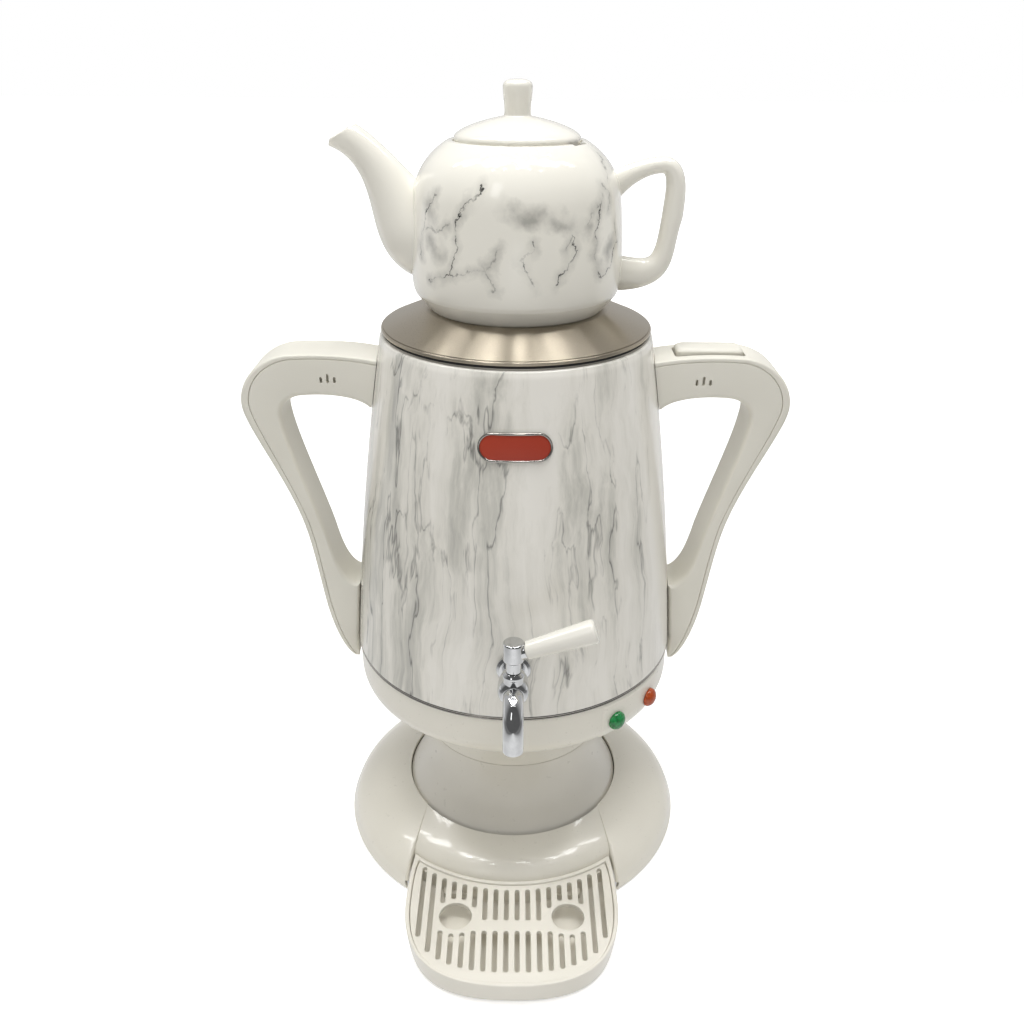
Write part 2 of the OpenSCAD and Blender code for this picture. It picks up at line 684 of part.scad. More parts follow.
// A point given from the arm's top and the bowl's side, and one given from the shell's lower edge
function arm_pt(x, z) = [x_out + x, z_arm + z];
function pad_pt(x, z) = [bowl_r + x, z_shell + z];
function body_r(z) = max(shell_r(z), z < z_shell ? bowl_r + 0.1 + ring_h / 4 : 0) + skin_gap;
function palm() = concat(
    curve([body_r(z_arm - 35.5), z_arm - 35.5], [body_r(z_arm - 29) + 6, z_arm - 29],
        arm_pt(-59, -25.5), arm_pt(-39, -27.5), 9),
    rest(curve(arm_pt(-39, -27.5), arm_pt(-29.5, -28.5), arm_pt(-24, -35.5), arm_pt(-25.5, -44.5), 8)),
    rest(curve(arm_pt(-25.5, -44.5), arm_pt(-28, -65.5), pad_pt(24.4, 105.4), pad_pt(16.4, 75.4), 10)),
    rest(curve(pad_pt(16.4, 75.4), pad_pt(12.9, 59.4), pad_pt(8.4, 42.4), [body_r(pad_top_z), pad_top_z], 8)),
    [for (i = [1:7]) let (z = mix(pad_top_z, pad_tip_z, i / 7)) [body_r(z), z]]);
function seam() = concat(
    curve([body_r(z_arm - 5.7), z_arm - 5.7], [body_r(z_arm - 2) + 16, z_arm - 2.2],
        arm_pt(-50, -1.3), arm_pt(-33, -2.7), 9),
    rest(curve(arm_pt(-33, -2.7), arm_pt(-18.5, -4.5), arm_pt(-5, -16.5), arm_pt(-5.2, -32.5), 8)),
    rest(curve(arm_pt(-5.2, -32.5), arm_pt(-6, -46.5), pad_pt(37.9, 122.4), pad_pt(28.2, 87.4), 10)),
    rest(curve(pad_pt(28.2, 87.4), pad_pt(24.1, 69.4), pad_pt(21.9, 48.4), pad_pt(19.2, 29.4), 8)),
    rest(curve(pad_pt(19.2, 29.4), pad_pt(15.9, 9.4), pad_pt(9.9, -10.6),
        [body_r(pad_tip_z) + 1.1, pad_tip_z], 7)));
function spine() = concat(
    curve([body_r(z_arm - 3) , z_arm - 3], [body_r(z_arm) + 17, z_arm + 0.5],
        arm_pt(-49, 1.1), arm_pt(-31, -0.2), 9),
    rest(curve(arm_pt(-31, -0.2), arm_pt(-15, -2), arm_pt(0.5, -15.5), arm_pt(0, -33.5), 8)),
    rest(curve(arm_pt(0, -33.5), arm_pt(-0.5, -48.5), pad_pt(41.4, 123.4), pad_pt(31.9, 87.4), 10)),
    rest(curve(pad_pt(31.9, 87.4), pad_pt(27.7, 71.4), pad_pt(24.9, 47.4), pad_pt(21.9, 27.4), 8)),
    rest(curve(pad_pt(21.9, 27.4), pad_pt(18.9, 8.4), pad_pt(12.4, -12.6),
        [body_r(pad_tip_z) + 2.6, pad_tip_z], 7)));
stations = 9 + 8 + 10 + 8 + 7;
pad_station = 9 + 8 + 10 + 8;
// Depths at which a handle's section has points, from the front to the back
depths = [for (s = [-1, -0.975, -0.92, -0.83, -0.7, 0, 0.7, 0.83, 0.92, 0.975, 1]) s * half_d];
// How far a rounded edge of radius r falls back at the depth y
function fall(y, r) = let (d = abs(y) - (half_d - r)) d <= 0 ? 0 : r - sqrt(max(0, r * r - d * d));
// How far the round body falls back from its front line at the depth y
function sag(r, y) = r - sqrt(r * r - y * y);
// The pad gets narrower towards its tip, as a round tongue does
tip_from = pad_station + 2;
tip_l = 6.2;
function tongue(i) = i <= tip_from ? 1 : sqrt(1 - pow((i - tip_from) / tip_l, 2));
// One closed section between two points of the lines, rounded by ra and rb, k times as deep
function strap_ring(a, b, ra, rb, hug_a, hug_b, k) = let (l = norm(b - a), dir = (b - a) / l) concat(
    [for (y = depths) let (p = a + dir * fall(y, min(ra, 0.46 * l)))
        [p[0] - hug_a * sag(p[0], k * y), k * y, p[1]]],
    [for (y = flip(depths)) let (p = b - dir * fall(y, min(rb, 0.46 * l)))
        [p[0] - hug_b * sag(p[0], k * y), k * y, p[1]]]);
module strap(inner, outer, ra, rb, hug_from) {
    skin([for (i = [0:stations]) flip(strap_ring(inner[i], outer[i], ra, rb,
        i == 0 || i >= hug_from ? 1 : 0, i == 0 ? 1 : 0, tongue(i)))]);
}
handle_screw_y = 8;
handle_screw_l = 11.5;
// The heads clear the round and sloping inside of the shell by this much
handle_screw_seat = 1.2;
arm_screw_z = z_arm - 19;
pad_screw_z = z_shell + 24;
module handle_screw_places() {
    for (side = [0, 180], z = [arm_screw_z, pad_screw_z], y = [-handle_screw_y, handle_screw_y])
        rotate([0, 0, side]) translate([shell_r(z), y, z]) rotate([0, 90, 0]) children();
}
// Hollow of a handle shell, open towards the cover, from the arm to above the pad
hollow_from = 2;
hollow_to = pad_station + 1;
module handle_hollow() {
    a = palm();
    b = seam();
    rotate([90, 0, 0]) linear_extrude(handle_d - 2 * handle_wall, center = true) polygon(concat(
        [for (i = [hollow_from:hollow_to]) a[i] + (b[i] - a[i]) / norm(b[i] - a[i]) * handle_wall],
        [for (i = [hollow_to:-1:hollow_from]) b[i] + (b[i] - a[i]) / norm(b[i] - a[i]) * 1.5]));
}
slot_x = bowl_r + 8;
slot_z = z_arm - 16;
module steam_slots() {
    for (i = [-1:1]) translate([slot_x + 4.3 * i, 0, slot_z + (i == 0 ? 0.8 : 0)]) {
        h = (i == 0 ? slot_h : slot_h - 2) - slot_w;
        translate([-slot_w / 2, -half_d - 1, -h / 2]) cube([slot_w, handle_wall + 2, h]);
        for (s = [-1, 1]) translate([0, -half_d + handle_wall + 1, s * h / 2]) rotate([90, 0, 0])
            cylinder(d = slot_w, h = handle_wall + 2, $fn = 24);
    }
}
module handle_shell() {
    color(ivory) difference() {
        union() {
            difference() {
                strap(palm(), seam(), handle_edge_r, 1.6, pad_station);
                handle_hollow();
            }
            // Two ribs across the hollow, on which the switch sits
            for (x = [-9, 9]) translate([rocker_x + x - 1, -half_d + 1.5, z_arm - 26])
                cube([2, handle_d - 3, 26 - switch_drop]);
        }
        steam_slots();
        for (z = [arm_screw_z, pad_screw_z], y = [-handle_screw_y, handle_screw_y])
            translate([shell_r(z) - 3, y, z]) rotate([0, 90, 0])
                cylinder(r = screw_r + screw_gap / 2, h = handle_screw_l + 4.5, $fn = 32);
    }
}
module handle_cover() {
    a = seam();
    b = spine();
    color(ivory) strap([for (i = [0:stations]) mix(a[i], b[i], 0.03)], b, 0.5, 3.4, stations + 1);
}
module handle_right_shell() {
    handle_shell();
}
module handle_left_shell() {
    mirror([1, 0, 0]) handle_shell();
}
module handle_left_cover() {
    mirror([1, 0, 0]) handle_cover();
}
module handle_screws() {
    color(steel) handle_screw_places() translate([0, 0, -shell_wall - handle_screw_seat])
        screw(screw_head_r, screw_head_h, screw_r, handle_screw_l);
}

// ---- Rocker switch in the right handle --------------------------------------------------------
rocker_x = bowl_r + 12.2;
rocker_pin_z = z_arm - 5.8;
rocker_top_z = z_arm + rocker_rise;
crown_r = 70;
lug_w = 6;
ear_t = 2;
pin_l = rocker_w + 2 * rocker_gap + 2 * ear_t;
module handle_right_cover() {
    gap_l = rocker_l + 2 * rocker_gap;
    gap_w = rocker_w + 2 * rocker_gap;
    color(ivory) difference() {
        union() {
            handle_cover();
            // Ears that hold the rocker's pin
            for (s = [-1, 1]) translate([rocker_x - 4, s * (gap_w + ear_t) / 2 - ear_t / 2, rocker_pin_z - 3])
                cube([8, ear_t, 8]);
        }
        translate([rocker_x - gap_l / 2, -gap_w / 2, z_arm - 12]) cube([gap_l, gap_w, 20]);
        translate([rocker_x, 0, rocker_pin_z]) rotate([90, 0, 0])
            cylinder(r = pin_r + 0.02, h = pin_l + 2, center = true, $fn = 32);
    }
}
module rocker_pin() {
    color(steel) translate([rocker_x, 0, rocker_pin_z]) rotate([90, 0, 0])
        cylinder(r = pin_r, h = pin_l, center = true, $fn = 32);
}
module rocker_button() {
    body_low = z_arm - 4.2;
    color(ivory) difference() {
        union() {
            // The crowned cap: a block rounded in plan, under a large arc
            intersection() {
                translate([rocker_x, 0, body_low]) linear_extrude(20) {
                    square([rocker_l - 6, rocker_w], center = true);
                    square([rocker_l, rocker_w - 6], center = true);
                    for (x = [-1, 1], y = [-1, 1]) translate([x * (rocker_l / 2 - 3), y * (rocker_w / 2 - 3)])
                        circle(r = 3, $fn = 32);
                }
                translate([rocker_x, 0, rocker_top_z - crown_r]) rotate([90, 0, 0])
                    cylinder(r = crown_r, h = 2 * rocker_w, center = true, $fn = 200);
                translate([rocker_x, 0, rocker_top_z - crown_r]) rotate([0, 90, 0])
                    cylinder(r = crown_r, h = 2 * rocker_l, center = true, $fn = 200);
            }
            // Lug that turns on the pin, and the finger that works the switch
            translate([rocker_x - 3.4, -lug_w / 2, rocker_pin_z - 3.2]) cube([6.8, lug_w, 5.4]);
            translate([rocker_x - 1.5, -lug_w / 2, switch_top_z - 2])
                cube([3, lug_w, rocker_pin_z - switch_top_z]);
        }
        translate([rocker_x, 0, rocker_pin_z]) rotate([90, 0, 0])
            cylinder(r = pin_r + run_gap, h = 2 * lug_w, center = true, $fn = 32);
    }
}
switch_top_z = z_arm - 13;
switch_drop = 22.6;
module switch_block() {
    low = z_arm - switch_drop;
    color(black) difference() {
        translate([rocker_x - 13, -8, low]) cube([26, 16, switch_top_z - low]);
        // Groove that the button's finger swings in
        translate([rocker_x - 5, -lug_w / 2 - 1, switch_top_z - 3]) cube([10, lug_w + 2, 4]);
    }
}

// ---- Lid of the boiler ------------------------------------------------------------------------
bead_r = 1.25;
bead_x = flange_r - bead_r + 1.2;
cone_foot = [bead_x + bead_r * 0.45, z_bead + 2.4];
// Height of the cone's underside at the radius r
function under_cone(r) = mix(cone_foot[1], z_seat,
    (cone_foot[0] - r) / (cone_foot[0] - seat_r)) - 1.15 * lid_wall;
skirt_top_gap = 0.04;
lid_skirt_r = mouth_r - tank_wall - lift_gap;
module lid_cone() {
    color(steel) turned(concat(
        [[steam_r, z_seat - 6], [steam_r, z_seat + 1.6], [steam_r + lid_wall, z_seat + 1.6],
            [steam_r + lid_wall, z_seat], [seat_r, z_seat], cone_foot],
        arc([bead_x, z_bead + bead_r], bead_r, 30, -90, 6),
        [[mouth_r - 0.5, z_bead], [mouth_r - 0.5, z_bead + 0.7], [cone_foot[0] - 2.6, z_bead + 0.7],
            [cone_foot[0] - 2.6, under_cone(cone_foot[0] - 2.6)], [seat_r - 0.3, z_seat - lid_wall],
            [steam_r + lid_wall, z_seat - lid_wall], [steam_r + lid_wall, z_seat - 6]]));
}
module lid_skirt() {
    low = z_lip - lid_skirt_h;
    r = lid_skirt_r;
    color(steel) turned([[r - lid_wall, low], [r, low], [r, under_cone(r) - skirt_top_gap],
        [r - lid_wall, under_cone(r - lid_wall) - skirt_top_gap]]);
}
module lid_seal() {
    color(black) turned([[mouth_r - 0.5, z_seal], [flange_r - 0.2, z_seal], [flange_r - 0.2, z_bead],
        [mouth_r - 0.5, z_bead]]);
}

// ---- Teapot -----------------------------------------------------------------------------------
z_ledge = z_pot_rim - 2;
ledge_r = pot_mouth_r + 4.5;
// The body's outer line: a chamfer from the foot up to a crease, the belly and the shoulder
function pot_edge() = concat(
    [[pot_foot_r - 1, z_seat], [pot_foot_r, z_seat + 0.8]],
    curve([pot_r - 1.9, z_seat + 10.2], [pot_r - 0.6, z_seat + 13.6], [pot_r, z_seat + 19],
        [pot_r, z_seat + 28.5], 6),
    rest(curve([pot_r, z_seat + 28.5], [pot_r, z_seat + 42], [pot_r - 1.1, z_pot_rim - 41.5],
        [pot_r - 2.4, z_pot_rim - 30.1], 7)),
    rest(curve([pot_r - 2.4, z_pot_rim - 30.1], [pot_r - 4.3, z_pot_rim - 15.6],
        [ledge_r + 13, z_pot_rim - 5.8],
        [ledge_r + 3.4, z_pot_rim], 11)));
// The inside, a wall's thickness within
function pot_inside() = concat(
    [[0, z_seat + 6.5], [pot_foot_r - 4, z_seat + 6.5]],
    curve([pot_foot_r + 2, z_seat + 11], [pot_r - pot_wall - 2, z_seat + 15], [pot_r - pot_wall, z_seat + 20],
        [pot_r - pot_wall, z_seat + 28.5], 6),
    rest(curve([pot_r - pot_wall, z_seat + 28.5], [pot_r - pot_wall, z_seat + 42],
        [pot_r - 1.1 - pot_wall, z_pot_rim - 41.5], [pot_r - 2.5 - pot_wall, z_pot_rim - 31], 6)),
    rest(curve([pot_r - 2.5 - pot_wall, z_pot_rim - 31], [pot_r - 5 - pot_wall, z_pot_rim - 17.5],
        [pot_mouth_r + 12, z_pot_rim - 9.8], [pot_mouth_r, z_pot_rim - 7], 8)),
    [[pot_mouth_r, z_ledge], [ledge_r, z_ledge], [ledge_r, z_pot_rim + 2], [0, z_pot_rim + 2]]);
// A round-sectioned tube along a path in the XZ plane: each row is [x, z, half height, half depth]
module swept(rows, m) {
    n = len(rows) - 1;
    skin([for (i = [0:n]) let (p = rows[i], q = rows[min(i + 1, n)], o = rows[max(i - 1, 0)],
        d = [q[0] - o[0], q[1] - o[1]], u = d / norm(d))
        [for (j = [0:m - 1]) let (a = 360 * (j + 0.5) / m)
            [p[0] - u[1] * p[2] * cos(a), p[3] * sin(a), p[1] + u[0] * p[2] * cos(a)]]]);
}
// The spout swings out from the belly and narrows to a lip
spout_wall_root = 4.5;
spout_wall_tip = 2.6;
module spout_form(w0, w1) {
    path = curve([-50, z_seat + 43.7, 0], [-71.7, z_seat + 41.7, 0], [33.9 - spout_reach, z_pot_rim - 10.9, 0],
        [-spout_reach - 0.7, z_pot_rim + 4.4, 0], 14);
    girth = curve([29.2, 0], [23.8, 0], [6.7, 0], [9.6, 0], 14);
    swept([for (i = [0:14]) let (g = girth[i][0] - mix(w0, w1, i / 14))
        [path[i][0], path[i][1], g, g * mix(0.8, 1, i / 14)]], 16);
}
module pot_handle_form() {
    r = pot_handle_reach;
    top = [r - 7.6, z_pot_rim - 13.4];
    side = [r - 0.3, z_pot_rim - 42.8];
    path = concat(curve([r - 40, z_pot_rim - 26.9], [r - 30.2, z_pot_rim - 19.8], [r - 17.9, z_pot_rim - 13.3],
        top, 7),
        rest(curve(top, [r + 3, z_pot_rim - 14.3], [r + 0.5, z_pot_rim - 31.4], side, 8)),
        rest(curve(side, [r - 5.1, z_pot_rim - 67.9], [r - 0.3, z_seat + 16.2], [r - 38.8, z_seat + 21], 9)));
    girth = concat(curve([9.6, 0], [5.7, 0], [4.6, 0], [4.9, 0], 7),
        rest(curve([4.9, 0], [5.4, 0], [6.4, 0], [6.4, 0], 8)),
        rest(curve([6.4, 0], [4.6, 0], [8.2, 0], [11.5, 0], 9)));
    swept([for (i = [0:24]) [path[i][0], path[i][1], girth[i][0], mix(7, 6, sin(i * 7.5))]], 14);
}
// Notch in the rim, in which a tab of the lid would turn
rim_notch_w = 10;
rim_notch_turn = -26;
module teapot_body() {
    color(white) difference() {
        union() {
            turned(concat([[0, z_seat + 2.5], [pot_foot_r - 7, z_seat + 2.5], [pot_foot_r - 6.5, z_seat]],
                pot_edge(),
                [[0, z_pot_rim]]));
            difference() {
                spout_form(0, 0);
                // The lip is cut off at a slant
                translate([-spout_reach + 3, 0, z_pot_rim + 3.3]) rotate([0, -30.6, 0]) translate([-40, -20, 0])
                    cube([80, 40, 40]);
            }
            pot_handle_form();
        }
        turned(pot_inside());
        spout_form(spout_wall_root, spout_wall_tip);
        rotate([0, 0, rim_notch_turn]) translate([ledge_r - 1, -rim_notch_w / 2, z_ledge - 1.5])
            cube([5.4, rim_notch_w, 8]);
    }
}
// The lid: a flat dome with a tall knob, and a tenon that drops into the mouth
module teapot_lid() {
    tenon_r = pot_mouth_r - lift_gap;
    rim_r = ledge_r - lift_gap;
    knob_z = z_ledge + pot_lid_h;
    knob_top = knob_z + knob_h;
    color(white) turned(concat(
        [[0, z_ledge + 1], [tenon_r - 5, z_ledge + 1], [tenon_r - 4, z_ledge - 9], [tenon_r, z_ledge - 9],
            [tenon_r, z_ledge], [rim_r, z_ledge], [rim_r, z_ledge + 2.8]],
        curve([rim_r - 0.5, z_ledge + 4.4], [rim_r - 2.2, z_ledge + 8], [22.2, knob_z - 2.6],
            [knob_r - 0.4, knob_z], 10),
        curve([knob_r - 0.8, knob_z + 1.4], [knob_r - 0.8, knob_z + 5], [knob_r - 0.5, knob_z + 9],
            [knob_r, knob_top - 4.3], 5),
        rest(curve([knob_r, knob_top - 4.3], [knob_r, knob_top - 1.3], [knob_r - 2.2, knob_top],
            [0, knob_top], 8))));
}

// ---- Tap --------------------------------------------------------------------------------------
tap_face_y = shell_r(tap_z) + 1.6;
tap_y = shell_r(tap_z) + tap_reach;
tap_flange_t = 3;
tap_nut_t = 6;
tail_y = tank_r(tap_z) - tank_wall - 11;
z_housing = tap_z + globe_r + 0.9;
z_collar = z_housing + 3.6;
z_cap = z_collar + 8;
bend_r = 17;
stem_r = 2.8;
module upright(z) {
    translate([0, -tap_y, z]) children();
}
bend_y = tap_y + 6;
// A quarter bend from the front shoulder down into the spout
module spout_bend(r) {
    translate([0, -bend_y, tap_z - bend_r]) rotate([0, 0, -90]) rotate([90, 0, 0])
        rotate_extrude(angle = 90, $fn = 96) translate([bend_r, 0]) circle(r = r, $fn = 48);
}
module tap_body() {
    y0 = tap_y;
    color(chrome) difference() {
        union() {
            // Tail, neck, round body and front shoulder, all about the bore
            facing_front(0, 0, tap_z) {
                translate([0, 0, tail_y])
                    cylinder(r = tail_r, h = tap_face_y + tap_flange_t + 1 - tail_y, $fn = 64);
                translate([0, 0, tap_face_y + tap_flange_t]) cylinder(r1 = tail_r, r2 = tail_r + 0.9,
                    h = y0 - tap_face_y - tap_flange_t, $fn = 64);
                translate([0, 0, y0]) cylinder(r1 = tail_r + 0.6, r2 = spout_r + 0.3, h = 6.5, $fn = 64);
            }
            upright(tap_z) sphere(r = globe_r, $fn = 64);
            upright(tap_z) cylinder(r = cap_r + 0.1, h = z_housing - tap_z, $fn = 64);
            // The spout bends down and ends in a straight stretch
            spout_bend(spout_r);
            translate([0, -(bend_y + bend_r), tap_z - spout_drop])
                cylinder(r = spout_r + 0.2, h = spout_drop - bend_r + 1, $fn = 48);
        }
        // Upright bore of the plug, and the water way through the tail, the bend and the spout
        upright(tap_z - plug_r - 1.2) cylinder(r = plug_r + run_gap, h = 40, $fn = 64);
        facing_front(0, 0, tap_z) translate([0, 0, tail_y - 1])
            cylinder(r = way_r + 0.2, h = bend_y + 1 - tail_y + 1, $fn = 48);
        spout_bend(way_r);
        translate([0, -(bend_y + bend_r), tap_z - spout_drop - 1])
            cylinder(r = way_r + 0.2, h = spout_drop - bend_r + 2, $fn = 48);
    }
}
// A ring round the tail, between two depths, before it is fitted to the shell or the tank
module tail_ring(r, from, to) {
    facing_front(0, -from, tap_z) difference() {
        cylinder(r = r, h = to - from, $fn = 64);
        translate([0, 0, -1]) cylinder(r = tail_r + screw_gap, h = to - from + 2, $fn = 48);
    }
}
module tap_flange() {
    color(chrome) facing_front(0, 0, tap_z) rotate_extrude($fn = 64) polygon(concat(
        [[tail_r + screw_gap, tap_face_y], [globe_r + 1.1, tap_face_y]],
        curve([globe_r + 1.1, tap_face_y + 0.8], [globe_r + 0.9, tap_face_y + 2.2],
        [tail_r + 3, tap_face_y + 2.6],
            [tail_r + 1.6, tap_face_y + tap_flange_t], 5),
        [[tail_r + screw_gap, tap_face_y + tap_flange_t]]));
}
module tap_gasket() {
    color(black) difference() {
        tail_ring(globe_r, tap_face_y - 5, tap_face_y);
        shell_solid(0.1, tap_z - globe_r - 1, tap_z + globe_r + 1);
    }
}
// A short stretch of the tank's form, grown by w
module tank_solid(w) {
    low = z_tank + tank_corner + 1;
    translate([0, 0, low])
        cylinder(r1 = tank_r(low) + w, r2 = tank_r(tap_z + 22) + w, h = tap_z + 22 - low, $fn = 360);
}
module tap_spacer() {
    color(black) difference() {
        intersection() {
            tail_ring(tail_r + 3, tank_r(tap_z) - 6, shell_r(tap_z) + 2);
            shell_solid(-shell_wall - 0.1, tap_z - tail_r - 4, tap_z + tail_r + 4);
        }
        tank_solid(0.6);
    }
}
module tap_washer() {
    color(black) intersection() {
        tail_ring(tail_r + 4, tail_y + 1.6 + tap_nut_t, tank_r(tap_z) + 3);
        tank_solid(-tank_wall - 0.8);
    }
}
module tap_nut() {
    color(steel) facing_front(0, -tail_y - 1.6, tap_z) difference() {
        cylinder(r = 12, h = tap_nut_t, $fn = 6);
        translate([0, 0, -1]) cylinder(r = tail_r + screw_gap, h = tap_nut_t + 2, $fn = 48);
    }
}
// The bonnet closes the plug's bore; its collar is bevelled towards the stem
module tap_bonnet() {
    color(chrome) upright(0) rotate_extrude($fn = 64) polygon([[stem_r + run_gap, z_housing],
        [cap_r + 0.5, z_housing], [cap_r + 0.5, z_housing + 1.7], [stem_r + 2.2, z_collar],
        [stem_r + run_gap, z_collar]]);
}
// The plug: a turned cylinder with a port across it, closed while the port lies crosswise
module tap_plug() {
    top = z_housing - 0.1;
    color("#c8a050") difference() {
        union() {
            upright(tap_z - plug_r - 1) cylinder(r = plug_r, h = top - tap_z + plug_r + 1, $fn = 64);
            upright(tap_z) cylinder(r = stem_r, h = z_cap + 5 - tap_z, $fn = 48);
        }
        upright(tap_z) rotate([0, 90, 0]) cylinder(r = way_r, h = 4 * plug_r, center = true, $fn = 48);
    }
}
// Along the lever, from the tap's axis: the socket's depth, and the face where the lever begins
lever_z = z_cap + cap_h / 2 - 2.4;
socket_from = 3.4;
lever_from = cap_r + 1.6;
lever_round = 2.3;
module along_lever() {
    translate([0, -tap_y, lever_z]) rotate([0, 90 - lever_rise, 0]) children();
}
module tap_cap() {
    color(chrome) difference() {
        union() {
            upright(0) rotate_extrude($fn = 64) polygon([[0, z_collar + 0.3], [stem_r + 1.8, z_collar + 0.3],
                [stem_r + 1.8, z_cap], [cap_r - 0.3, z_cap], [cap_r, z_cap + 0.4], [cap_r, z_cap + cap_h - 0.8],
                [cap_r - 0.8, z_cap + cap_h], [0, z_cap + cap_h]]);
            // Short boss against which the lever sits
            along_lever() translate([0, 0, 2]) cylinder(r = lever_root_r - 1, h = lever_from - 2, $fn = 48);
        }
        upright(z_collar) cylinder(r = stem_r + 0.02, h = z_cap + 5.1 - z_collar, $fn = 48);
        along_lever() translate([0, 0, socket_from]) cylinder(r = 2.4, h = 10, $fn = 32);
    }
}
module tap_lever() {
    color(white) union() {
        difference() {
            along_lever() rotate_extrude($fn = 64) polygon(concat(
                [[0, lever_from], [lever_root_r - 0.7, lever_from],
                [lever_root_r, lever_from + 0.7]],
                arc([lever_end_r - lever_round, lever_l - lever_round], lever_round, 0, 80, 8),
                [[0, lever_l]]));
            upright(0) cylinder(r = cap_r + 0.3, h = 2 * z_cap, $fn = 64);
        }
        along_lever() translate([0, 0, socket_from + 0.2]) cylinder(r = 2.36, h = 12, $fn = 32);
    }
}

// ---- Drip tray --------------------------------------------------------------------------------
tray_low = 0.8;
tray_back_r = apron_r + lift_gap;
tray_floor_t = 2.4;
tray_back_w = notch_w - 1.2;
tray_back_y = 78;
// Depths at which the tray's sides reach their full width and begin to round to the front
tray_side_y = 104;
tray_round_y = 126;
nose = 2;
grille_gap = 0.4;
grille_top_z = tray_h - 1;
// The right half of the tray's outline, from behind its back corner to the front, inset by w; the
// concave back is cut by a cylinder afterwards
function tray_half(w) = concat(
    curve([tray_back_w - w, -tray_back_y],
        [tray_back_w + 1.2 - w, 12 - tray_side_y], [tray_w - w, -tray_side_y],
        [tray_w - w, -tray_round_y], 6),
    rest(curve([tray_w - w, -tray_round_y], [tray_w - w, -mix(tray_round_y, tray_front, 0.77)],
        [0.62 * tray_w, w - tray_front], [nose, w - tray_front], 14)));
function tray_outline(w) = concat(tray_half(w), mirrored(tray_half(w)));
// The tray's outside leans in towards its floor
module tray_outside() {
    levels = [[tray_low, 3.4], [tray_low + 1.2, 2], [tray_low + 6, 1], [tray_h - 0.7, 0], [tray_h, 0.7]];
    difference() {
        skin([for (l = levels) [for (p = tray_outline(l[1])) [p[0], p[1], l[0]]]]);
        cylinder(r = tray_back_r, h = 2 * tray_h, $fn = round_n);
    }
}
// The space inside the tray's walls, from z up
module tray_inside(w, z) {
    translate([0, 0, z]) difference() {
        linear_extrude(tray_h) polygon(tray_outline(w));
        cylinder(r = tray_back_r + w, h = 3 * tray_h, center = true, $fn = round_n);
    }
}
module drip_tray() {
    shelf = grille_top_z - grille_t;
    color(ivory) union() {
        difference() {
            tray_outside();
            // Seat of the grille, and the basin under it
            tray_inside(tray_wall, shelf);
            tray_inside(tray_wall + 3, tray_low + tray_floor_t);
        }
        // Tongue that slides into the base
        translate([-tongue_w, -apron_r - 2, tongue_z]) cube([2 * tongue_w, 2 + tongue_l, tongue_t]);
    }
}
grille_margin = 11;
slot_rows = [[117.5, 143], [151.5, tray_front - grille_margin]];
outer_cols = [[97, 156.5], [102.5, 168.5]];
finger_y = 139.7;
columns = 9;
module grille_slot(x, from, to) {
    w = grille_slot_w;
    translate([x - w / 2, -to + w / 2]) square([w, to - from - w]);
    for (y = [from + w / 2, to - w / 2]) translate([x, -y]) circle(d = w, $fn = 24);
}
// Front end of the slots in the column x, which follows the tray's round front
function front_end(x) = tray_front - grille_margin - 9.5 * pow(x / 48, 3);
// Back end of the slots, which follows the concave back edge
function back_end(x) = sqrt(pow(tray_back_r + 6.9, 2) - x * x);
module drip_grille() {
    color(ivory) translate([0, 0, grille_top_z - grille_t]) linear_extrude(grille_t) difference() {
        polygon(tray_outline(tray_wall + grille_gap));
        circle(r = tray_back_r + tray_wall + grille_gap, $fn = round_n);
        difference() {
            for (s = [-1, 1], i = [0:columns - 1]) {
                x = s * (i + 0.5) * slot_pitch;
                if (i >= columns - 2) {
                    grille_slot(x, outer_cols[columns - 1 - i][0], outer_cols[columns - 1 - i][1]);
                } else {
                    grille_slot(x, back_end(x), slot_rows[0][1]);
                    grille_slot(x, slot_rows[1][0], front_end(abs(x)));
                }
            }
            // Solid rings round the finger holes
            for (s = [-1, 1]) translate([s * finger_x, -finger_y]) circle(r = finger_r + 3.2, $fn = 64);
        }
        for (s = [-1, 1]) translate([s * finger_x, -finger_y]) circle(r = finger_r, $fn = 64);
    }
}

rubber_feet();
base_plate();
base_cover();
base_screws();
neck_column();
neck_screws();
bowl_housing();
bowl_screws();
trim_ring();
marble_shell();
inner_tank();
tank_studs();
tank_nuts();
heater_plate();
heating_element();
dry_boil_cutout();
terminal_block();
power_inlet();
inlet_pins();
lamp_green();
lamp_orange();
lamp_sockets();
badge_frame();
badge_plate();
handle_left_shell();
handle_left_cover();
handle_right_shell();
handle_right_cover();
handle_screws();
rocker_pin();
switch_block();
rocker_button();
lid_cone();
lid_skirt();
lid_seal();
teapot_body();
teapot_lid();
tap_body();
tap_flange();
tap_gasket();
tap_spacer();
tap_washer();
tap_nut();
tap_bonnet();
tap_plug();
tap_cap();
tap_lever();
drip_tray();
drip_grille();
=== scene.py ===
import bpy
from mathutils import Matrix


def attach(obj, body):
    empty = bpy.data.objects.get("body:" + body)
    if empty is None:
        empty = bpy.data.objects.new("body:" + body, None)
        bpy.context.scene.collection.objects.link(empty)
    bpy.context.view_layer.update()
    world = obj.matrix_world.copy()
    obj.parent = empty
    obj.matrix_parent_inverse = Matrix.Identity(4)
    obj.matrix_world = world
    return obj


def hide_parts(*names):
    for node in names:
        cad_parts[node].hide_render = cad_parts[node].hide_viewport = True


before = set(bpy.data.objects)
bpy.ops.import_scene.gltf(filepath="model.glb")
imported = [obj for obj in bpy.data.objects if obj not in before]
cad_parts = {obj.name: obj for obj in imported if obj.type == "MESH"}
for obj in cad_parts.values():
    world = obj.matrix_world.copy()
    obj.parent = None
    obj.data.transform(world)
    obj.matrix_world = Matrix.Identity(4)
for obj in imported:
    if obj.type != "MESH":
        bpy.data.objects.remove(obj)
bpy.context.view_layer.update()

import math

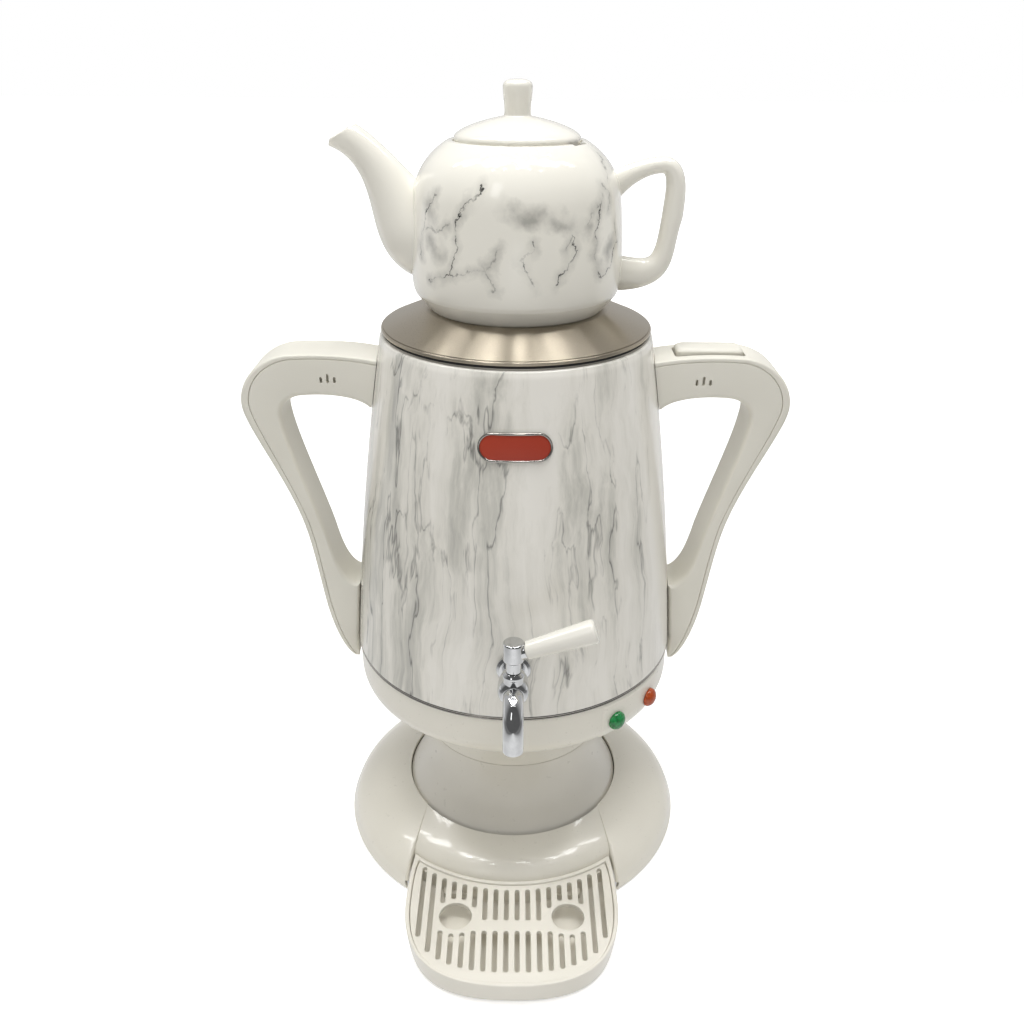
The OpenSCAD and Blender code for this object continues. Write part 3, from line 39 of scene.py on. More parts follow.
import bmesh
import bpy
import numpy as np
from mathutils import Matrix, Vector

# All sizes below are millimetres in the part's frame; meshes are written in metres.


# ---- Pedestal cover -----------------------------------------------------------------------------
# One thick injection moulding of glossy ivory ABS: a flared skirt with a cut-out at the front, and in
# the cut-out a lower apron that the drip tray butts against. It screws onto the base plate from below.
def curve(a, b, c, d, n):
    """n points of a cubic: (1-t)^3 a + 3(1-t)^2 t b + 3(1-t) t^2 c + t^3 d, for t from 0 to 1."""
    t = np.linspace(0, 1, n)[:, None]
    a, b, c, d = (np.array(p, float) for p in (a, b, c, d))
    return (1 - t) ** 3 * a + 3 * (1 - t) ** 2 * t * b + 3 * (1 - t) * t ** 2 * c + t ** 3 * d


def rounded(corners, steps=5):
    """A line through corners (x, z, fillet): each fillet is an arc that touches the sides of its corner."""
    rows = np.array(corners, float)
    line = []
    for i, (x, z, r) in enumerate(rows):
        p = np.array([x, z])
        if r == 0 or i in (0, len(rows) - 1):
            line.append(p[None])
            continue
        u, v = rows[i - 1, :2] - p, rows[i + 1, :2] - p
        u, v = u / np.linalg.norm(u), v / np.linalg.norm(v)
        half = 0.5 * math.acos(np.clip(u @ v, -1, 1))
        cut = r / math.tan(half)
        centre = p + (u + v) / np.linalg.norm(u + v) * r / math.sin(half)
        first, last = p + u * cut - centre, p + v * cut - centre
        start = math.atan2(first[1], first[0])
        turn = (math.atan2(last[1], last[0]) - start + math.pi) % (2 * math.pi) - math.pi
        angle = start + turn * np.linspace(0, 1, steps + 1)
        line.append(centre + r * np.stack([np.cos(angle), np.sin(angle)], 1))
    return np.vstack(line)


def placed(name, data):
    """A new object of the scene."""
    made = bpy.data.objects.new(name, data)
    bpy.context.scene.collection.objects.link(made)
    return made


def finished(name, mesh, material, sharp, closed=True):
    """Joins a mesh's doubled points, turns its faces outwards if it's closed, shades it smooth up to an angle of
    sharp degrees, and makes it an object."""
    work = bmesh.new()
    work.from_mesh(mesh)
    bmesh.ops.remove_doubles(work, verts=work.verts, dist=2e-6)
    bmesh.ops.dissolve_degenerate(work, edges=work.edges, dist=1e-7)
    if closed:
        bmesh.ops.recalc_face_normals(work, faces=work.faces)
    work.to_mesh(mesh)
    work.free()
    mesh.shade_smooth()
    mesh.set_sharp_from_angle(angle=math.radians(sharp))
    mesh.materials.clear()
    mesh.materials.append(material)
    return placed(name, mesh)


def piece(name, grids, material, sharp=32.0, closed=True):
    """Grids of points [i, j] in millimetres, each (points, whether j runs round), become one mesh of quads."""
    verts, faces, start = [], [], 0
    for points, round_j in grids:
        index = start + np.arange(points.shape[0] * points.shape[1]).reshape(points.shape[:2])
        start += index.size
        if round_j:
            index = np.hstack([index, index[:, :1]])
        verts.append(points.reshape(-1, 3) * 0.001)
        faces.append(np.stack([index[:-1, :-1], index[1:, :-1], index[1:, 1:], index[:-1, 1:]], -1).reshape(-1, 4))
    mesh = bpy.data.meshes.new(name)
    mesh.from_pydata(np.vstack(verts).tolist(), [], np.vstack(faces).tolist())
    return finished(name, mesh, material, sharp, closed)


def polar(r, angle, z):
    """Points at radius r, angle from the front and height z: x = r sin a, y = -r cos a."""
    return np.stack(np.broadcast_arrays(r * np.sin(angle), -r * np.cos(angle), z), -1)


def plug(node, sockets):
    """Fills a node's inputs, from a dict by name or from a list in their order. A node as the value links its
    first output, (node, output) links the named one, and anything else is a constant."""
    for key, value in sockets.items() if isinstance(sockets, dict) else enumerate(sockets):
        linked = isinstance(value, tuple) and isinstance(value[0], bpy.types.Node)
        source, output = value if linked else (value, 0)
        if isinstance(source, bpy.types.Node):
            node.id_data.links.new(source.outputs[output], node.inputs[key])
        else:
            node.inputs[key].default_value = value


def add(tree, kind, sockets=(), stops=(), **settings):
    """Adds one shader node with its inputs, its settings, and the places and hex codes of a colour ramp."""
    made = tree.nodes.new("ShaderNode" + kind)
    for name, value in settings.items():
        setattr(made, name, value)
    plug(made, sockets)
    for i, (place, code) in enumerate(stops):
        if i > 1:
            made.color_ramp.elements.new(place)
        made.color_ramp.elements[i].position, made.color_ramp.elements[i].color = place, colour(code)
    return made


def colour(code):
    """An sRGB hex code as linear RGBA."""
    s = np.array([int(code[i:i + 2], 16) / 255 for i in (1, 3, 5)])
    return (*np.where(s <= 0.04045, s / 12.92, ((s + 0.055) / 1.055) ** 2.4), 1.0)


def blank_material(name):
    """A new material: itself, its node tree, its shader, and its Object coordinates ready to be linked."""
    made = bpy.data.materials.new(name)
    made.use_nodes = True
    tree = made.node_tree
    return made, tree, tree.nodes["Principled BSDF"], (add(tree, "TexCoord"), "Object")


def moulded(name, shade, tint, rough, peel, lift=0.12, coat=0.0):
    """Injection moulded plastic: a shade that drifts a little over 60 mm, and a skin with waves peel mm wide."""
    made, tree, shader, place = blank_material(name)
    drift = add(tree, "TexNoise", {"Vector": place, "Scale": 1 / 0.06, "Detail": 2.0})
    tone = add(tree, "ValToRGB", [drift], [(0.3, shade), (0.7, tint)])
    skin = add(tree, "TexNoise", {"Vector": place, "Scale": 1000 / peel, "Detail": 3.0, "Roughness": 0.6})
    bump = add(tree, "Bump", {"Height": skin, "Strength": lift, "Distance": peel * 0.00004})
    wear = add(tree, "MapRange", [skin, 0.3, 0.7, rough - 0.03, rough + 0.04])
    plug(shader, {"Base Color": tone, "Roughness": wear, "Normal": bump, "IOR": 1.54, "Coat Weight": coat,
                  "Coat Roughness": 0.06})
    return made


# Glossy ABS: clear window reflections over a warm, slightly grey white.
glossy_abs = moulded("moulded_glossy_abs", "#e5e1d4", "#e9e5d9", 0.3, 3.0, 0.06, 0.5)
DOME_HEAD, DOME_FOOT, APRON_R, FOOT_Z = 80.45, 127.3, 109.6, 1.25
# The notch's side line is x = 52.72 + 0.22 d, with d the distance to the front; LEAN is the length of (1, 0.22)
NOTCH_X, NOTCH_SLOPE, LEAN = 52.72, 0.22, 1.0239
# The apron's wall is open below the lintel, from -TONGUE_X to TONGUE_X, where the tray's tongue goes in
TONGUE_X, LINTEL_Z, WALL_T = 48.4, 8.0, 3.0
dome = np.vstack([
    rounded([(DOME_HEAD, 29.6, 0), (DOME_HEAD, 32.4, 0.5), (83.0, 31.5, 0)])[:-1],
    curve((81.2, 32.2), (98.0, 25.9), (121.8, 20.6), (125.3, 6.0), 64),
    rounded([(125.5, 5.5, 0), (DOME_FOOT, FOOT_Z, 0.7), (124.4, FOOT_Z, 0.5), (122.9, 7.0, 0)])])
apron = np.vstack([curve((81.2, 32.2), (94.0, 26.2), (107.6, 23.9), (APRON_R, 15.0), 44),
                   [[APRON_R, 12.0], [APRON_R, LINTEL_Z]]])


def cut_angle(r, grow):
    """Angle from the front at which the circle of radius r meets the notch's side line, moved out by grow."""
    return np.arctan(NOTCH_SLOPE) + np.arcsin((NOTCH_X + LEAN * grow) / (LEAN * r))


# Height of the step between skirt and apron, and from it the radius on the skirt's cut edge
apron_z = np.interp(dome[:, 0], apron[:, 0], apron[:, 1], right=1.2)
step = np.clip(dome[:, 1] - apron_z, 0, None)
edge = np.clip(0.55 * step, 0.02, 2.4)
angle = cut_angle(dome[:, 0], edge)[:, None]
turn = angle + (2 * math.pi - 2 * angle) * np.linspace(0, 1, 300)[None]
skirt = polar(dome[:, :1], turn, dome[:, 1:])
# Rounded edge: from the skirt's surface over a quarter arc to the cut wall, then down
slope = np.gradient(dome, axis=0)
slope /= np.linalg.norm(slope, axis=1)[:, None]
wall_n = np.array([-1, -NOTCH_SLOPE, 0]) / LEAN
sides = []
for side in (1, -1):
    head = skirt[:, 0] if side == 1 else skirt[:, -1] * [-1, 1, 1]
    a = angle[:, 0]
    normal = polar(np.abs(slope[:, 1]), a, np.abs(slope[:, 0]))
    normal -= (normal @ wall_n)[:, None] * wall_n
    normal /= np.linalg.norm(normal, axis=1)[:, None]
    bend = np.radians(np.linspace(0, 90, 7))[None, :, None]
    centre = head - normal * edge[:, None]
    arc = centre[:, None] + edge[:, None, None] * (np.cos(bend) * normal[:, None] + np.sin(bend) * wall_n)
    low = np.where(dome[:, 0] > APRON_R - 1.2, FOOT_Z, apron_z - 1.0)
    foot = arc[:, -1:].repeat(3, 1)
    foot[:, :, 2] += np.minimum(0, (low - foot[:, 0, 2])[:, None] * np.array([0.1, 0.5, 1.0]))
    sides.append((np.concatenate([arc, foot], 1)[3:72] * [side, 1, 1], False))
span = cut_angle(apron[:, 0], 0.8)[:, None] * np.linspace(-1, 1, 120)[None]
shelf = polar(apron[:, :1], span, apron[:, 1:])
front = []
edge_angle = math.asin(TONGUE_X / APRON_R)
leg_z = np.array([LINTEL_Z, 5.0, FOOT_Z])[:, None]
for side in (1, -1):
    low = np.linspace(edge_angle, cut_angle(APRON_R, 0.8), 24)
    leg = polar(APRON_R, low, leg_z) * [side, 1, 1]
    jamb = np.array([[[side * TONGUE_X, -math.sqrt(r * r - TONGUE_X ** 2), z] for z in (LINTEL_Z, FOOT_Z)]
                     for r in (APRON_R, APRON_R - WALL_T)])
    front += [(leg, False), (jamb, False)]
over = np.linspace(-edge_angle, edge_angle, 40)
front.append((polar(np.array([[APRON_R], [APRON_R - WALL_T]]), over, LINTEL_Z), False))
pedestal = piece("pedestal_cover", [(skirt, False), (shelf, False)] + sides + front, glossy_abs, 30, closed=False)
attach(pedestal, "housing")
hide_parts("base_cover")


# ---- Feet, base plate and screws ----------------------------------------------------------------
# Four turned rubber feet pegged into a flat dark plate, which closes the pedestal from below. Zinc
# plated screws hold it, the neck, the bowl and the handles.
def dress(material, *names):
    """Gives a material to every slot of the named CAD nodes."""
    for name in names:
        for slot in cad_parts[name].material_slots:
            slot.material = material


def metal(name, shade, tint, rough, grain, stretch=(1, 1, 1), lift=0.15):
    """Bare metal whose polishing lines are grain mm apart, and closer by stretch along each axis."""
    made, tree, shader, place = blank_material(name)
    drawn = add(tree, "Mapping", {"Vector": place, "Scale": stretch})
    lines = add(tree, "TexNoise", {"Vector": drawn, "Scale": 1000 / grain, "Detail": 4.0, "Roughness": 0.65})
    tone = add(tree, "ValToRGB", [lines], [(0.3, shade), (0.7, tint)])
    gloss = add(tree, "MapRange", [lines, 0.3, 0.7, max(0.02, rough - 0.05), rough + 0.06])
    bump = add(tree, "Bump", {"Height": lines, "Strength": lift, "Distance": grain * 0.00003})
    plug(shader, {"Metallic": 1.0, "Base Color": tone, "Roughness": gloss, "Normal": bump})
    return made


black_rubber = moulded("moulded_black_rubber", "#1b1a19", "#242321", 0.72, 0.8, 0.4)
black_nylon = moulded("moulded_black_nylon", "#201f1d", "#292825", 0.48, 0.6, 0.3)
dark_plate = moulded("moulded_dark_polypropylene", "#37342f", "#3e3b36", 0.5, 1.2, 0.3)
zinc = metal("zinc_plated_steel", "#9a9890", "#b4b2aa", 0.3, 0.6)
dress(black_rubber, "rubber_feet")
dress(dark_plate, "base_plate")
dress(zinc, "base_screws", "neck_screws", "bowl_screws", "tank_studs", "tank_nuts", "handle_screws", "tap_nut")
dress(metal("nickel_plated_brass", "#bdbab2", "#cfccc4", 0.22, 0.5), "inlet_pins", "rocker_pin")
dress(black_nylon, "power_inlet", "lamp_sockets", "switch_block", "dry_boil_cutout")


# ---- Neck ---------------------------------------------------------------------------------------
# A waisted tube of the same ABS with inner flanges. It stands 3 mm deep in a recess of the pedestal,
# with a dark seam round it, and the bowl sits on its top edge.
def turned(line, around=256):
    """A line of (radius, height) turned about the Z axis."""
    return polar(line[:, :1], np.radians(360 * (np.arange(around) / around)), line[:, 1:]), True


neck_line = np.vstack([
    [[76.0, 29.6], [79.6, 29.6]],
    curve((79.9, 30.0), (70.6, 46.0), (64.0, 61.8), (65.65, 82.2), 60),
    rounded([(65.65, 82.2, 0), (65.65, 82.95, 0.35), (62.0, 82.95, 0)])[1:]])
neck_abs = moulded("moulded_neck_abs", "#dfdbd0", "#e3dfd4", 0.3, 6.0, 0.02, 0.4)
neck = piece("neck_tube", [turned(neck_line)], neck_abs)
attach(neck, "housing")
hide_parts("neck_column")

# ---- Bowl ---------------------------------------------------------------------------------------
# The moulded bowl carries tank and heater. Its belly is flat, its rim a straight band, and a slightly
# raised panel at the right front takes the two lamps.
BOWL_R, PANEL_FROM, PANEL_TO, PANEL_T = 111.6, 32.0, 62.0, 0.8
bowl_line = np.vstack([
    rounded([(60.0, 83.15, 0), (65.7, 83.15, 0.5), (65.7, 90.0, 0)]),
    curve((65.7, 104.0), (65.9, 116.0), (72.0, 121.5), (84.0, 123.4), 20),
    curve((98.0, 125.6), (106.0, 126.8), (BOWL_R, 132.6), (BOWL_R, 142.6), 34),
    [[BOWL_R, z] for z in (146.0, 150.0, 154.0, 156.6)],
    rounded([(BOWL_R, 157.0, 0), (BOWL_R, 159.55, 0.5), (108.6, 159.55, 0)])])


def rise(x, start, width):
    """Smooth step from 0 to 1 over width from start: 3 t^2 - 2 t^3."""
    t = np.clip((x - start) / width, 0, 1)
    return t * t * (3 - 2 * t)


# Points round the bowl, denser at the panel's two edges
about = np.sort(np.concatenate([np.linspace(0, 360, 240, endpoint=False)]
                               + [a + np.linspace(-0.75, 0.75, 9) for a in (PANEL_FROM, PANEL_TO)]))
line = bowl_line[:, None]
lift = (rise(about, PANEL_FROM - 0.5, 1.0) * (1 - rise(about, PANEL_TO - 0.5, 1.0)))[None] \
    * (rise(line[..., 1], 126.9, 3.6) * (1 - rise(line[..., 1], 156.9, 0.9)))
radius = line[..., 0] + PANEL_T * lift
spun = np.radians(about)[None]
bowl = piece("bowl_moulding", [(polar(radius, spun, line[..., 1]), True)], glossy_abs)
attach(bowl, "housing")
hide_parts("bowl_housing")

# ---- Trim ring ----------------------------------------------------------------------------------
# A thin rolled band of bright plated steel with two beads, clamped between bowl and shell.
bright = metal("bright_plated_steel", "#a9a6a0", "#c4c1bb", 0.16, 0.9, (1, 1, 6))
beads = np.radians(np.linspace(-90, 90, 9))
low_bead, high_bead = (np.stack([111.72 + 0.72 * np.cos(beads), z + 0.7 * np.sin(beads)], 1)
                       for z in (160.35, 161.85))
ring_line = np.vstack([[[110.0, 159.65]], low_bead, high_bead, [[110.0, 162.55]]])
ring = piece("trim_band", [turned(ring_line, 320)], bright, 50)
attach(ring, "housing")
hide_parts("trim_ring")

# ---- Marble shell -------------------------------------------------------------------------------
# A rolled and tapered steel sheet, printed with grey upright marble veins on warm white and lacquered
# to a high gloss. Its top edge is rolled over into a lip that carries the tank.
Z_SHELL, SHELL_H = 162.6, 219.8


def shell_r(z):
    """Radius of the shell at height z: a cone from 112.3 to 86.3, bulged by 2.7 in the middle."""
    t = (z - Z_SHELL) / SHELL_H
    return 112.3 + (86.3 - 112.3) * t + 2.7 * 4 * t * (1 - t)


def warped(tree, place, scale, detail, roughness, reach):
    """Node that gives a place moved by fractal noise, by up to half of reach in metres."""
    noise = add(tree, "TexNoise", {"Vector": place, "Scale": scale, "Detail": detail, "Roughness": roughness})
    level = add(tree, "VectorMath", [(noise, "Color"), (0.5, 0.5, 0.5)], operation="SUBTRACT")
    bent = add(tree, "VectorMath", [level, reach], operation="MULTIPLY")
    return add(tree, "VectorMath", [place, bent], operation="ADD")


def azimuth(tree, place):
    """Node that gives a place's angle from the front, positive to the right."""
    part = add(tree, "SeparateXYZ", [place])
    ahead = add(tree, "Math", [(part, "Y"), -1.0], operation="MULTIPLY")
    return add(tree, "Math", [(part, "X"), ahead], operation="ARCTAN2")


def lacquered_marble():
    """Upright marble: 3-D noise drawn out 14 times in height gives long smears, and the lines where a finer noise
    passes 0.5 give hairline veins, which show only inside the smears."""
    made, tree, shader, place = blank_material("lacquered_marble_print")
    # Slow sideways drift over about 80 mm of height
    spot = warped(tree, place, 12.0, 3.0, 0.55, (0.024, 0.024, 0.0))
    tall = add(tree, "Mapping", {"Vector": spot, "Scale": (1, 1, 0.07), "Rotation": (0.0, 0.06, 0.0),
                                 "Location": (0.37, 0.12, 0.05)})
    # Smears about 30 mm wide, with finer streaks inside them
    smear = add(tree, "TexNoise", {"Vector": tall, "Scale": 27.0, "Detail": 7.0, "Roughness": 0.66})
    # How pale the pattern is from 60 degrees left to 60 right: heavy at 40, nearly bare in the middle
    share = add(tree, "MapRange", [azimuth(tree, place), -math.pi / 3, math.pi / 3])
    pale = add(tree, "ValToRGB", [share], [(at, "#" + 3 * grey) for at, grey in (
        (0.04, "bc"), (0.12, "7c"), (0.18, "68"), (0.25, "d2"), (0.32, "dc"), (0.38, "ec"), (0.46, "e6"),
        (0.56, "e6"), (0.64, "a2"), (0.69, "a6"), (0.75, "d2"), (0.81, "96"), (0.88, "b0"), (0.97, "bc"))])
    bias = add(tree, "MapRange", {"Value": pale, "To Min": -0.11, "To Max": 0.09})
    cloud = add(tree, "Math", [smear, bias], operation="ADD")
    clouds = add(tree, "ValToRGB", [cloud],
                 [(0.31, "#aeaca6"), (0.40, "#cdcbc2"), (0.48, "#e5e2d9"), (0.57, "#eeebe3")])
    # Hairlines
    vein = add(tree, "TexNoise", {"Vector": tall, "Scale": 58.0, "Detail": 4.0, "Roughness": 0.5})
    mid = add(tree, "Math", [vein, 0.5], operation="SUBTRACT")
    thin = add(tree, "Math", [mid], operation="ABSOLUTE")
    sharp = add(tree, "MapRange", [thin, 0.0, 0.018, 1.0, 0.0])
    dense = add(tree, "MapRange", [cloud, 0.40, 0.53, 0.85, 0.0])
    weight = add(tree, "Math", [sharp, dense], operation="MULTIPLY")
    ink = add(tree, "Mix", {0: weight, 6: clouds, 7: colour("#6d6c69")}, data_type="RGBA")
    plug(shader, {"Base Color": (ink, 2), "Roughness": 0.22, "Coat Weight": 0.4, "Coat Roughness": 0.05})
    return made


marble = lacquered_marble()
rise_z = np.linspace(Z_SHELL + 0.1, 380.3, 70)
shell_line = np.vstack([np.stack([shell_r(rise_z), rise_z], 1),
                        curve((86.42, 380.6), (86.3, 381.7), (85.5, 382.35), (84.5, 382.35), 8),
                        [[82.4, 382.35], [82.0, 381.6]]])
shell = piece("marble_jacket", [turned(shell_line, 360)], marble)
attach(shell, "housing")
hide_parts("marble_shell")

# ---- Tank and heater ----------------------------------------------------------------------------
# A deep-drawn stainless tank hangs by its flange in the shell's lip. The heater plate, element,
# cut-out and terminals sit under it in the bowl.
drawn_steel = metal("deep_drawn_stainless", "#a39e96", "#bab5ac", 0.34, 0.7, (1, 1, 8))
# A milky finish, so the deep tank isn't black where the light bounces many times
plug(drawn_steel.node_tree.nodes["Principled BSDF"], {"Metallic": 0.5})
dress(drawn_steel, "inner_tank")
dress(metal("cast_aluminium", "#a2a4a6", "#b8babb", 0.42, 1.5, lift=0.5), "heater_plate")
dress(metal("heat_tinted_steel_tube", "#6d655b", "#8b8072", 0.34, 1.0), "heating_element")
dress(moulded("pressed_steatite", "#d5cfbf", "#ded9cb", 0.7, 0.5, 0.5), "terminal_block")

# ---- Pilot lamps --------------------------------------------------------------------------------
# Domed lenses of clear dyed polycarbonate, pushed into holes of the bowl's panel.
SEAT = BOWL_R + PANEL_T + 0.15
LENS_R, LENS_Z = 6.45, 143.3
for tag, where, deep, pale in (("green", 37.5, "#1d7a3e", "#35a35c"), ("orange", 55.5, "#b54b1e", "#cc6030")):
    lens, tree, shader, place = blank_material("dyed_polycarbonate_" + tag)
    # Flow marks of the moulding, about 2.5 mm wide, mottle the lens
    flow = add(tree, "TexNoise", {"Vector": place, "Scale": 400.0, "Detail": 2.0})
    tone = add(tree, "ValToRGB", [flow], [(0.35, deep), (0.65, pale)])
    plug(shader, {"Base Color": tone, "Roughness": 0.12, "IOR": 1.58, "Transmission Weight": 0.25,
                  "Subsurface Weight": 0.2, "Subsurface Scale": 0.003})
    t = np.radians(np.linspace(0, 90, 14))
    outline = np.vstack([[[0.0, SEAT - 7.9], [5.4, SEAT - 7.9], [5.4, SEAT], [LENS_R, SEAT + 0.02]],
                         np.stack([LENS_R * np.cos(t), SEAT + 0.75 + 4.4 * np.sin(t)], 1)])
    spin = np.radians(np.linspace(0, 360, 48, endpoint=False))[None, :, None]
    a = math.radians(where)
    out, right = np.array([math.sin(a), -math.cos(a), 0]), np.array([math.cos(a), math.sin(a), 0])
    ring = np.cos(spin) * right + np.sin(spin) * np.array([0, 0, 1])
    grid = outline[:, None, 1:] * out + outline[:, None, :1] * ring
    lamp = piece("lamp_lens_" + tag, [(grid + [0, 0, LENS_Z], True)], lens)
    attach(lamp, "housing")
    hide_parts("lamp_" + tag)

# ---- Badge --------------------------------------------------------------------------------------
# A thin pill of red enamel in a plated frame, bent to the shell's curve and glued on. It bears nothing.
BADGE_Z, BADGE_W, BADGE_H, BADGE_R = 339.5, 43.8, 17.3, 93.5


def on_shell(u, v, out):
    """Points u across and v up from the badge's middle, wrapped on the shell and out mm proud of it."""
    return polar(shell_r(BADGE_Z + v) + out, u / BADGE_R, BADGE_Z + v)


def pill(w, h, n):
    """Outline of a pill w wide and h tall, n points round: a straight, a half circle, then both turned over."""
    half, straight = h / 2, w - h
    side = straight + math.pi * half
    gone = np.linspace(0, 2 * side, n, endpoint=False)
    turn = np.where(gone < side, 1, -1)
    gone = gone % side
    bend = np.clip(gone - straight, 0, None) / half
    return turn * (np.minimum(gone, straight) - straight / 2 + half * np.sin(bend)), -turn * half * np.cos(bend)


rows = []
for inset, out in ((0.0, 0.1), (0.0, 0.9), (0.15, 1.3), (0.5, 1.5), (0.9, 1.5), (1.2, 1.3), (1.35, 1.0),
                   (1.35, 0.5)):
    rows.append(on_shell(*pill(BADGE_W - 2 * inset, BADGE_H - 2 * inset, 120), out))
rim = piece("badge_rim", [(np.array(rows), True)], bright, 40)
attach(rim, "housing")
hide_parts("badge_frame")
rows = []
u, v = pill(BADGE_W - 2.9, BADGE_H - 2.9, 120)
for share in (1.0, 0.97, 0.85, 0.6, 0.3, 0.0):
    rows.append(on_shell(u * (0.66 + 0.34 * share), v * share, 1.0 + 0.25 * (1 - share ** 2)))
enamel = moulded("red_enamel", "#a22f16", "#ac381c", 0.42, 2.5, 0.08)
plate = piece("badge_field", [(np.array(rows), True)], enamel)
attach(plate, "housing")
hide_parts("badge_plate")

# ---- Handles ------------------------------------------------------------------------------------
# Each handle is a hollow moulding that faces the body and a cover along its back; they meet in a fine
# seam. Both are satin ABS, screwed on from inside the shell.
# Half the depth in Y, and the heights of the arm's palm side and of both ends of the pad
HALF_D, ARM_Z, PAD_TOP, PAD_FOOT = 17.0, 334.0, 203.0, 139.1


def body_r(z):
    """Radius of what the pad lies on at height z, with 0.35 mm of air."""
    return np.where(z < Z_SHELL, np.maximum(shell_r(z), 112.5), shell_r(z)) + 0.35


def joined(*parts):
    """Curves set end to end, without the doubled points."""
    return np.vstack([parts[0]] + [p[1:] for p in parts[1:]])


# Each line runs out along the arm, round its bend, down, into the pad and along the pad
FINE = 5
counts = [n * FINE + 1 for n in (9, 8, 10, 8, 7)]
pad_z = np.linspace(PAD_TOP, PAD_FOOT, counts[4])
palm = joined(
    curve((body_r(ARM_Z), ARM_Z), (body_r(340.5) + 6, 340.5), (118, 344), (138, 342), counts[0]),
    curve((138, 342), (147.5, 341), (153, 334), (151.5, 325), counts[1]),
    curve((151.5, 325), (149, 304), (136, 268), (128, 238), counts[2]),
    curve((128, 238), (124.5, 222), (120, 205), (body_r(PAD_TOP), PAD_TOP), counts[3]),
    np.stack([body_r(pad_z), pad_z], 1))
seam = joined(
    curve((body_r(363.8), 363.8), (body_r(367.5) + 16, 367.3), (127, 368.2), (144, 366.8), counts[0]),
    curve((144, 366.8), (158.5, 365), (172, 353), (171.8, 337), counts[1]),
    curve((171.8, 337), (171, 323), (149.5, 285), (139.8, 250), counts[2]),
    curve((139.8, 250), (135.7, 232), (133.5, 211), (130.8, 192), counts[3]),
    curve((130.8, 192), (127.5, 172), (121.5, 152), (body_r(PAD_FOOT) + 1.1, PAD_FOOT), counts[4]))
spine = joined(
    curve((body_r(366.5), 366.5), (body_r(369.5) + 17, 370), (128, 370.6), (146, 369.3), counts[0]),
    curve((146, 369.3), (162, 367.5), (177.5, 354), (177, 336), counts[1]),
    curve((177, 336), (176.5, 321), (153, 286), (143.5, 250), counts[2]),
    curve((143.5, 250), (139.3, 234), (136.5, 210), (133.5, 190), counts[3]),
    curve((133.5, 190), (130.5, 171), (124, 150), (body_r(PAD_FOOT) + 2.6, PAD_FOOT), counts[4]))
pad_from = sum(c - 1 for c in counts[:4])


def strap(inner, outer, ra, rb, hug_from, side):
    """A band between two lines in the XZ plane, 34 mm deep in Y. At the edges of each face the section turns
    through a quarter arc, and the inner line falls back as the round body does: r - sqrt(r^2 - y^2). The pad's
    tip gets narrower like a tongue, by sqrt(1 - t^2)."""
    reach = np.linalg.norm(outer - inner, axis=1)
    along = (outer - inner) / reach[:, None]
    quarter = np.radians(np.linspace(90, 0, 9))
    flat = np.linspace(-1, 1, 17)[1:-1]
    station = np.arange(len(inner))
    tongue = np.sqrt(1 - (np.clip(station / FINE - 37, 0, None) / 6.2) ** 2)[:, None]

    def row(line, r, sign, hug):
        r = np.minimum(r, 0.46 * reach)[:, None]
        y = np.hstack([-(HALF_D - r) - r * np.sin(quarter), (HALF_D - r) * flat,
                       (HALF_D - r) + r * np.sin(quarter[::-1])]) * tongue
        fall = sign * np.hstack([r * (1 - np.cos(quarter)), 0 * r * flat, r * (1 - np.cos(quarter[::-1]))])
        x, z = line[:, :1] + along[:, :1] * fall, line[:, 1:] + along[:, 1:] * fall
        x = x - hug[:, None] * (line[:, :1] - np.sqrt(line[:, :1] ** 2 - y ** 2))
        return np.stack([x, y, z], -1)

    on_arm = station == 0
    ring = np.concatenate([row(inner, ra, 1, (on_arm | (station >= hug_from)).astype(float)),
                           row(outer, rb, -1, on_arm.astype(float))[:, ::-1]], 1)
    cap = ring[[0, -1]].mean(1, keepdims=True)
    cap[0, 0, 0] = ring[0, :, 0].max() - 0.3
    ring = np.concatenate([cap[:1].repeat(ring.shape[1], 1), ring, cap[1:].repeat(ring.shape[1], 1)])
    return ring * [side, 1, 1], True


def cut(target, name, grids):
    """Cuts closed forms out of a piece and keeps its smooth shading."""
    tool = piece(name, grids, target.data.materials[0])
    job = target.modifiers.new("cut", "BOOLEAN")
    job.operation, job.solver, job.object = "DIFFERENCE", "EXACT", tool
    bpy.context.view_layer.update()
    result = bpy.data.meshes.new_from_object(target.evaluated_get(bpy.context.evaluated_depsgraph_get()))
    target.modifiers.clear()
    target.data = result
    target.data.name = target.name
    bpy.data.objects.remove(tool)
    target.data.set_sharp_from_angle(angle=math.radians(32))


def block(w, d, h, r, low, x=0.0, y=0.0, n=8):
    """An upright block with rounded corners in plan: the outline of a rounded rectangle at two heights, closed."""
    t = np.radians(np.linspace(0, 90, n))
    corner = np.stack([np.cos(t), np.sin(t)], 1) * r + [w / 2 - r, d / 2 - r]
    back = corner[::-1] * [-1, 1]
    outline = np.vstack([corner, back, -corner, -back]) + [x, y]
    middle, top = np.broadcast_to([x, y], outline.shape), low + h
    return np.array([np.column_stack([p, np.full(len(p), z)])
                     for p, z in ((middle, low), (outline, low), (outline, top), (middle, top))]), True


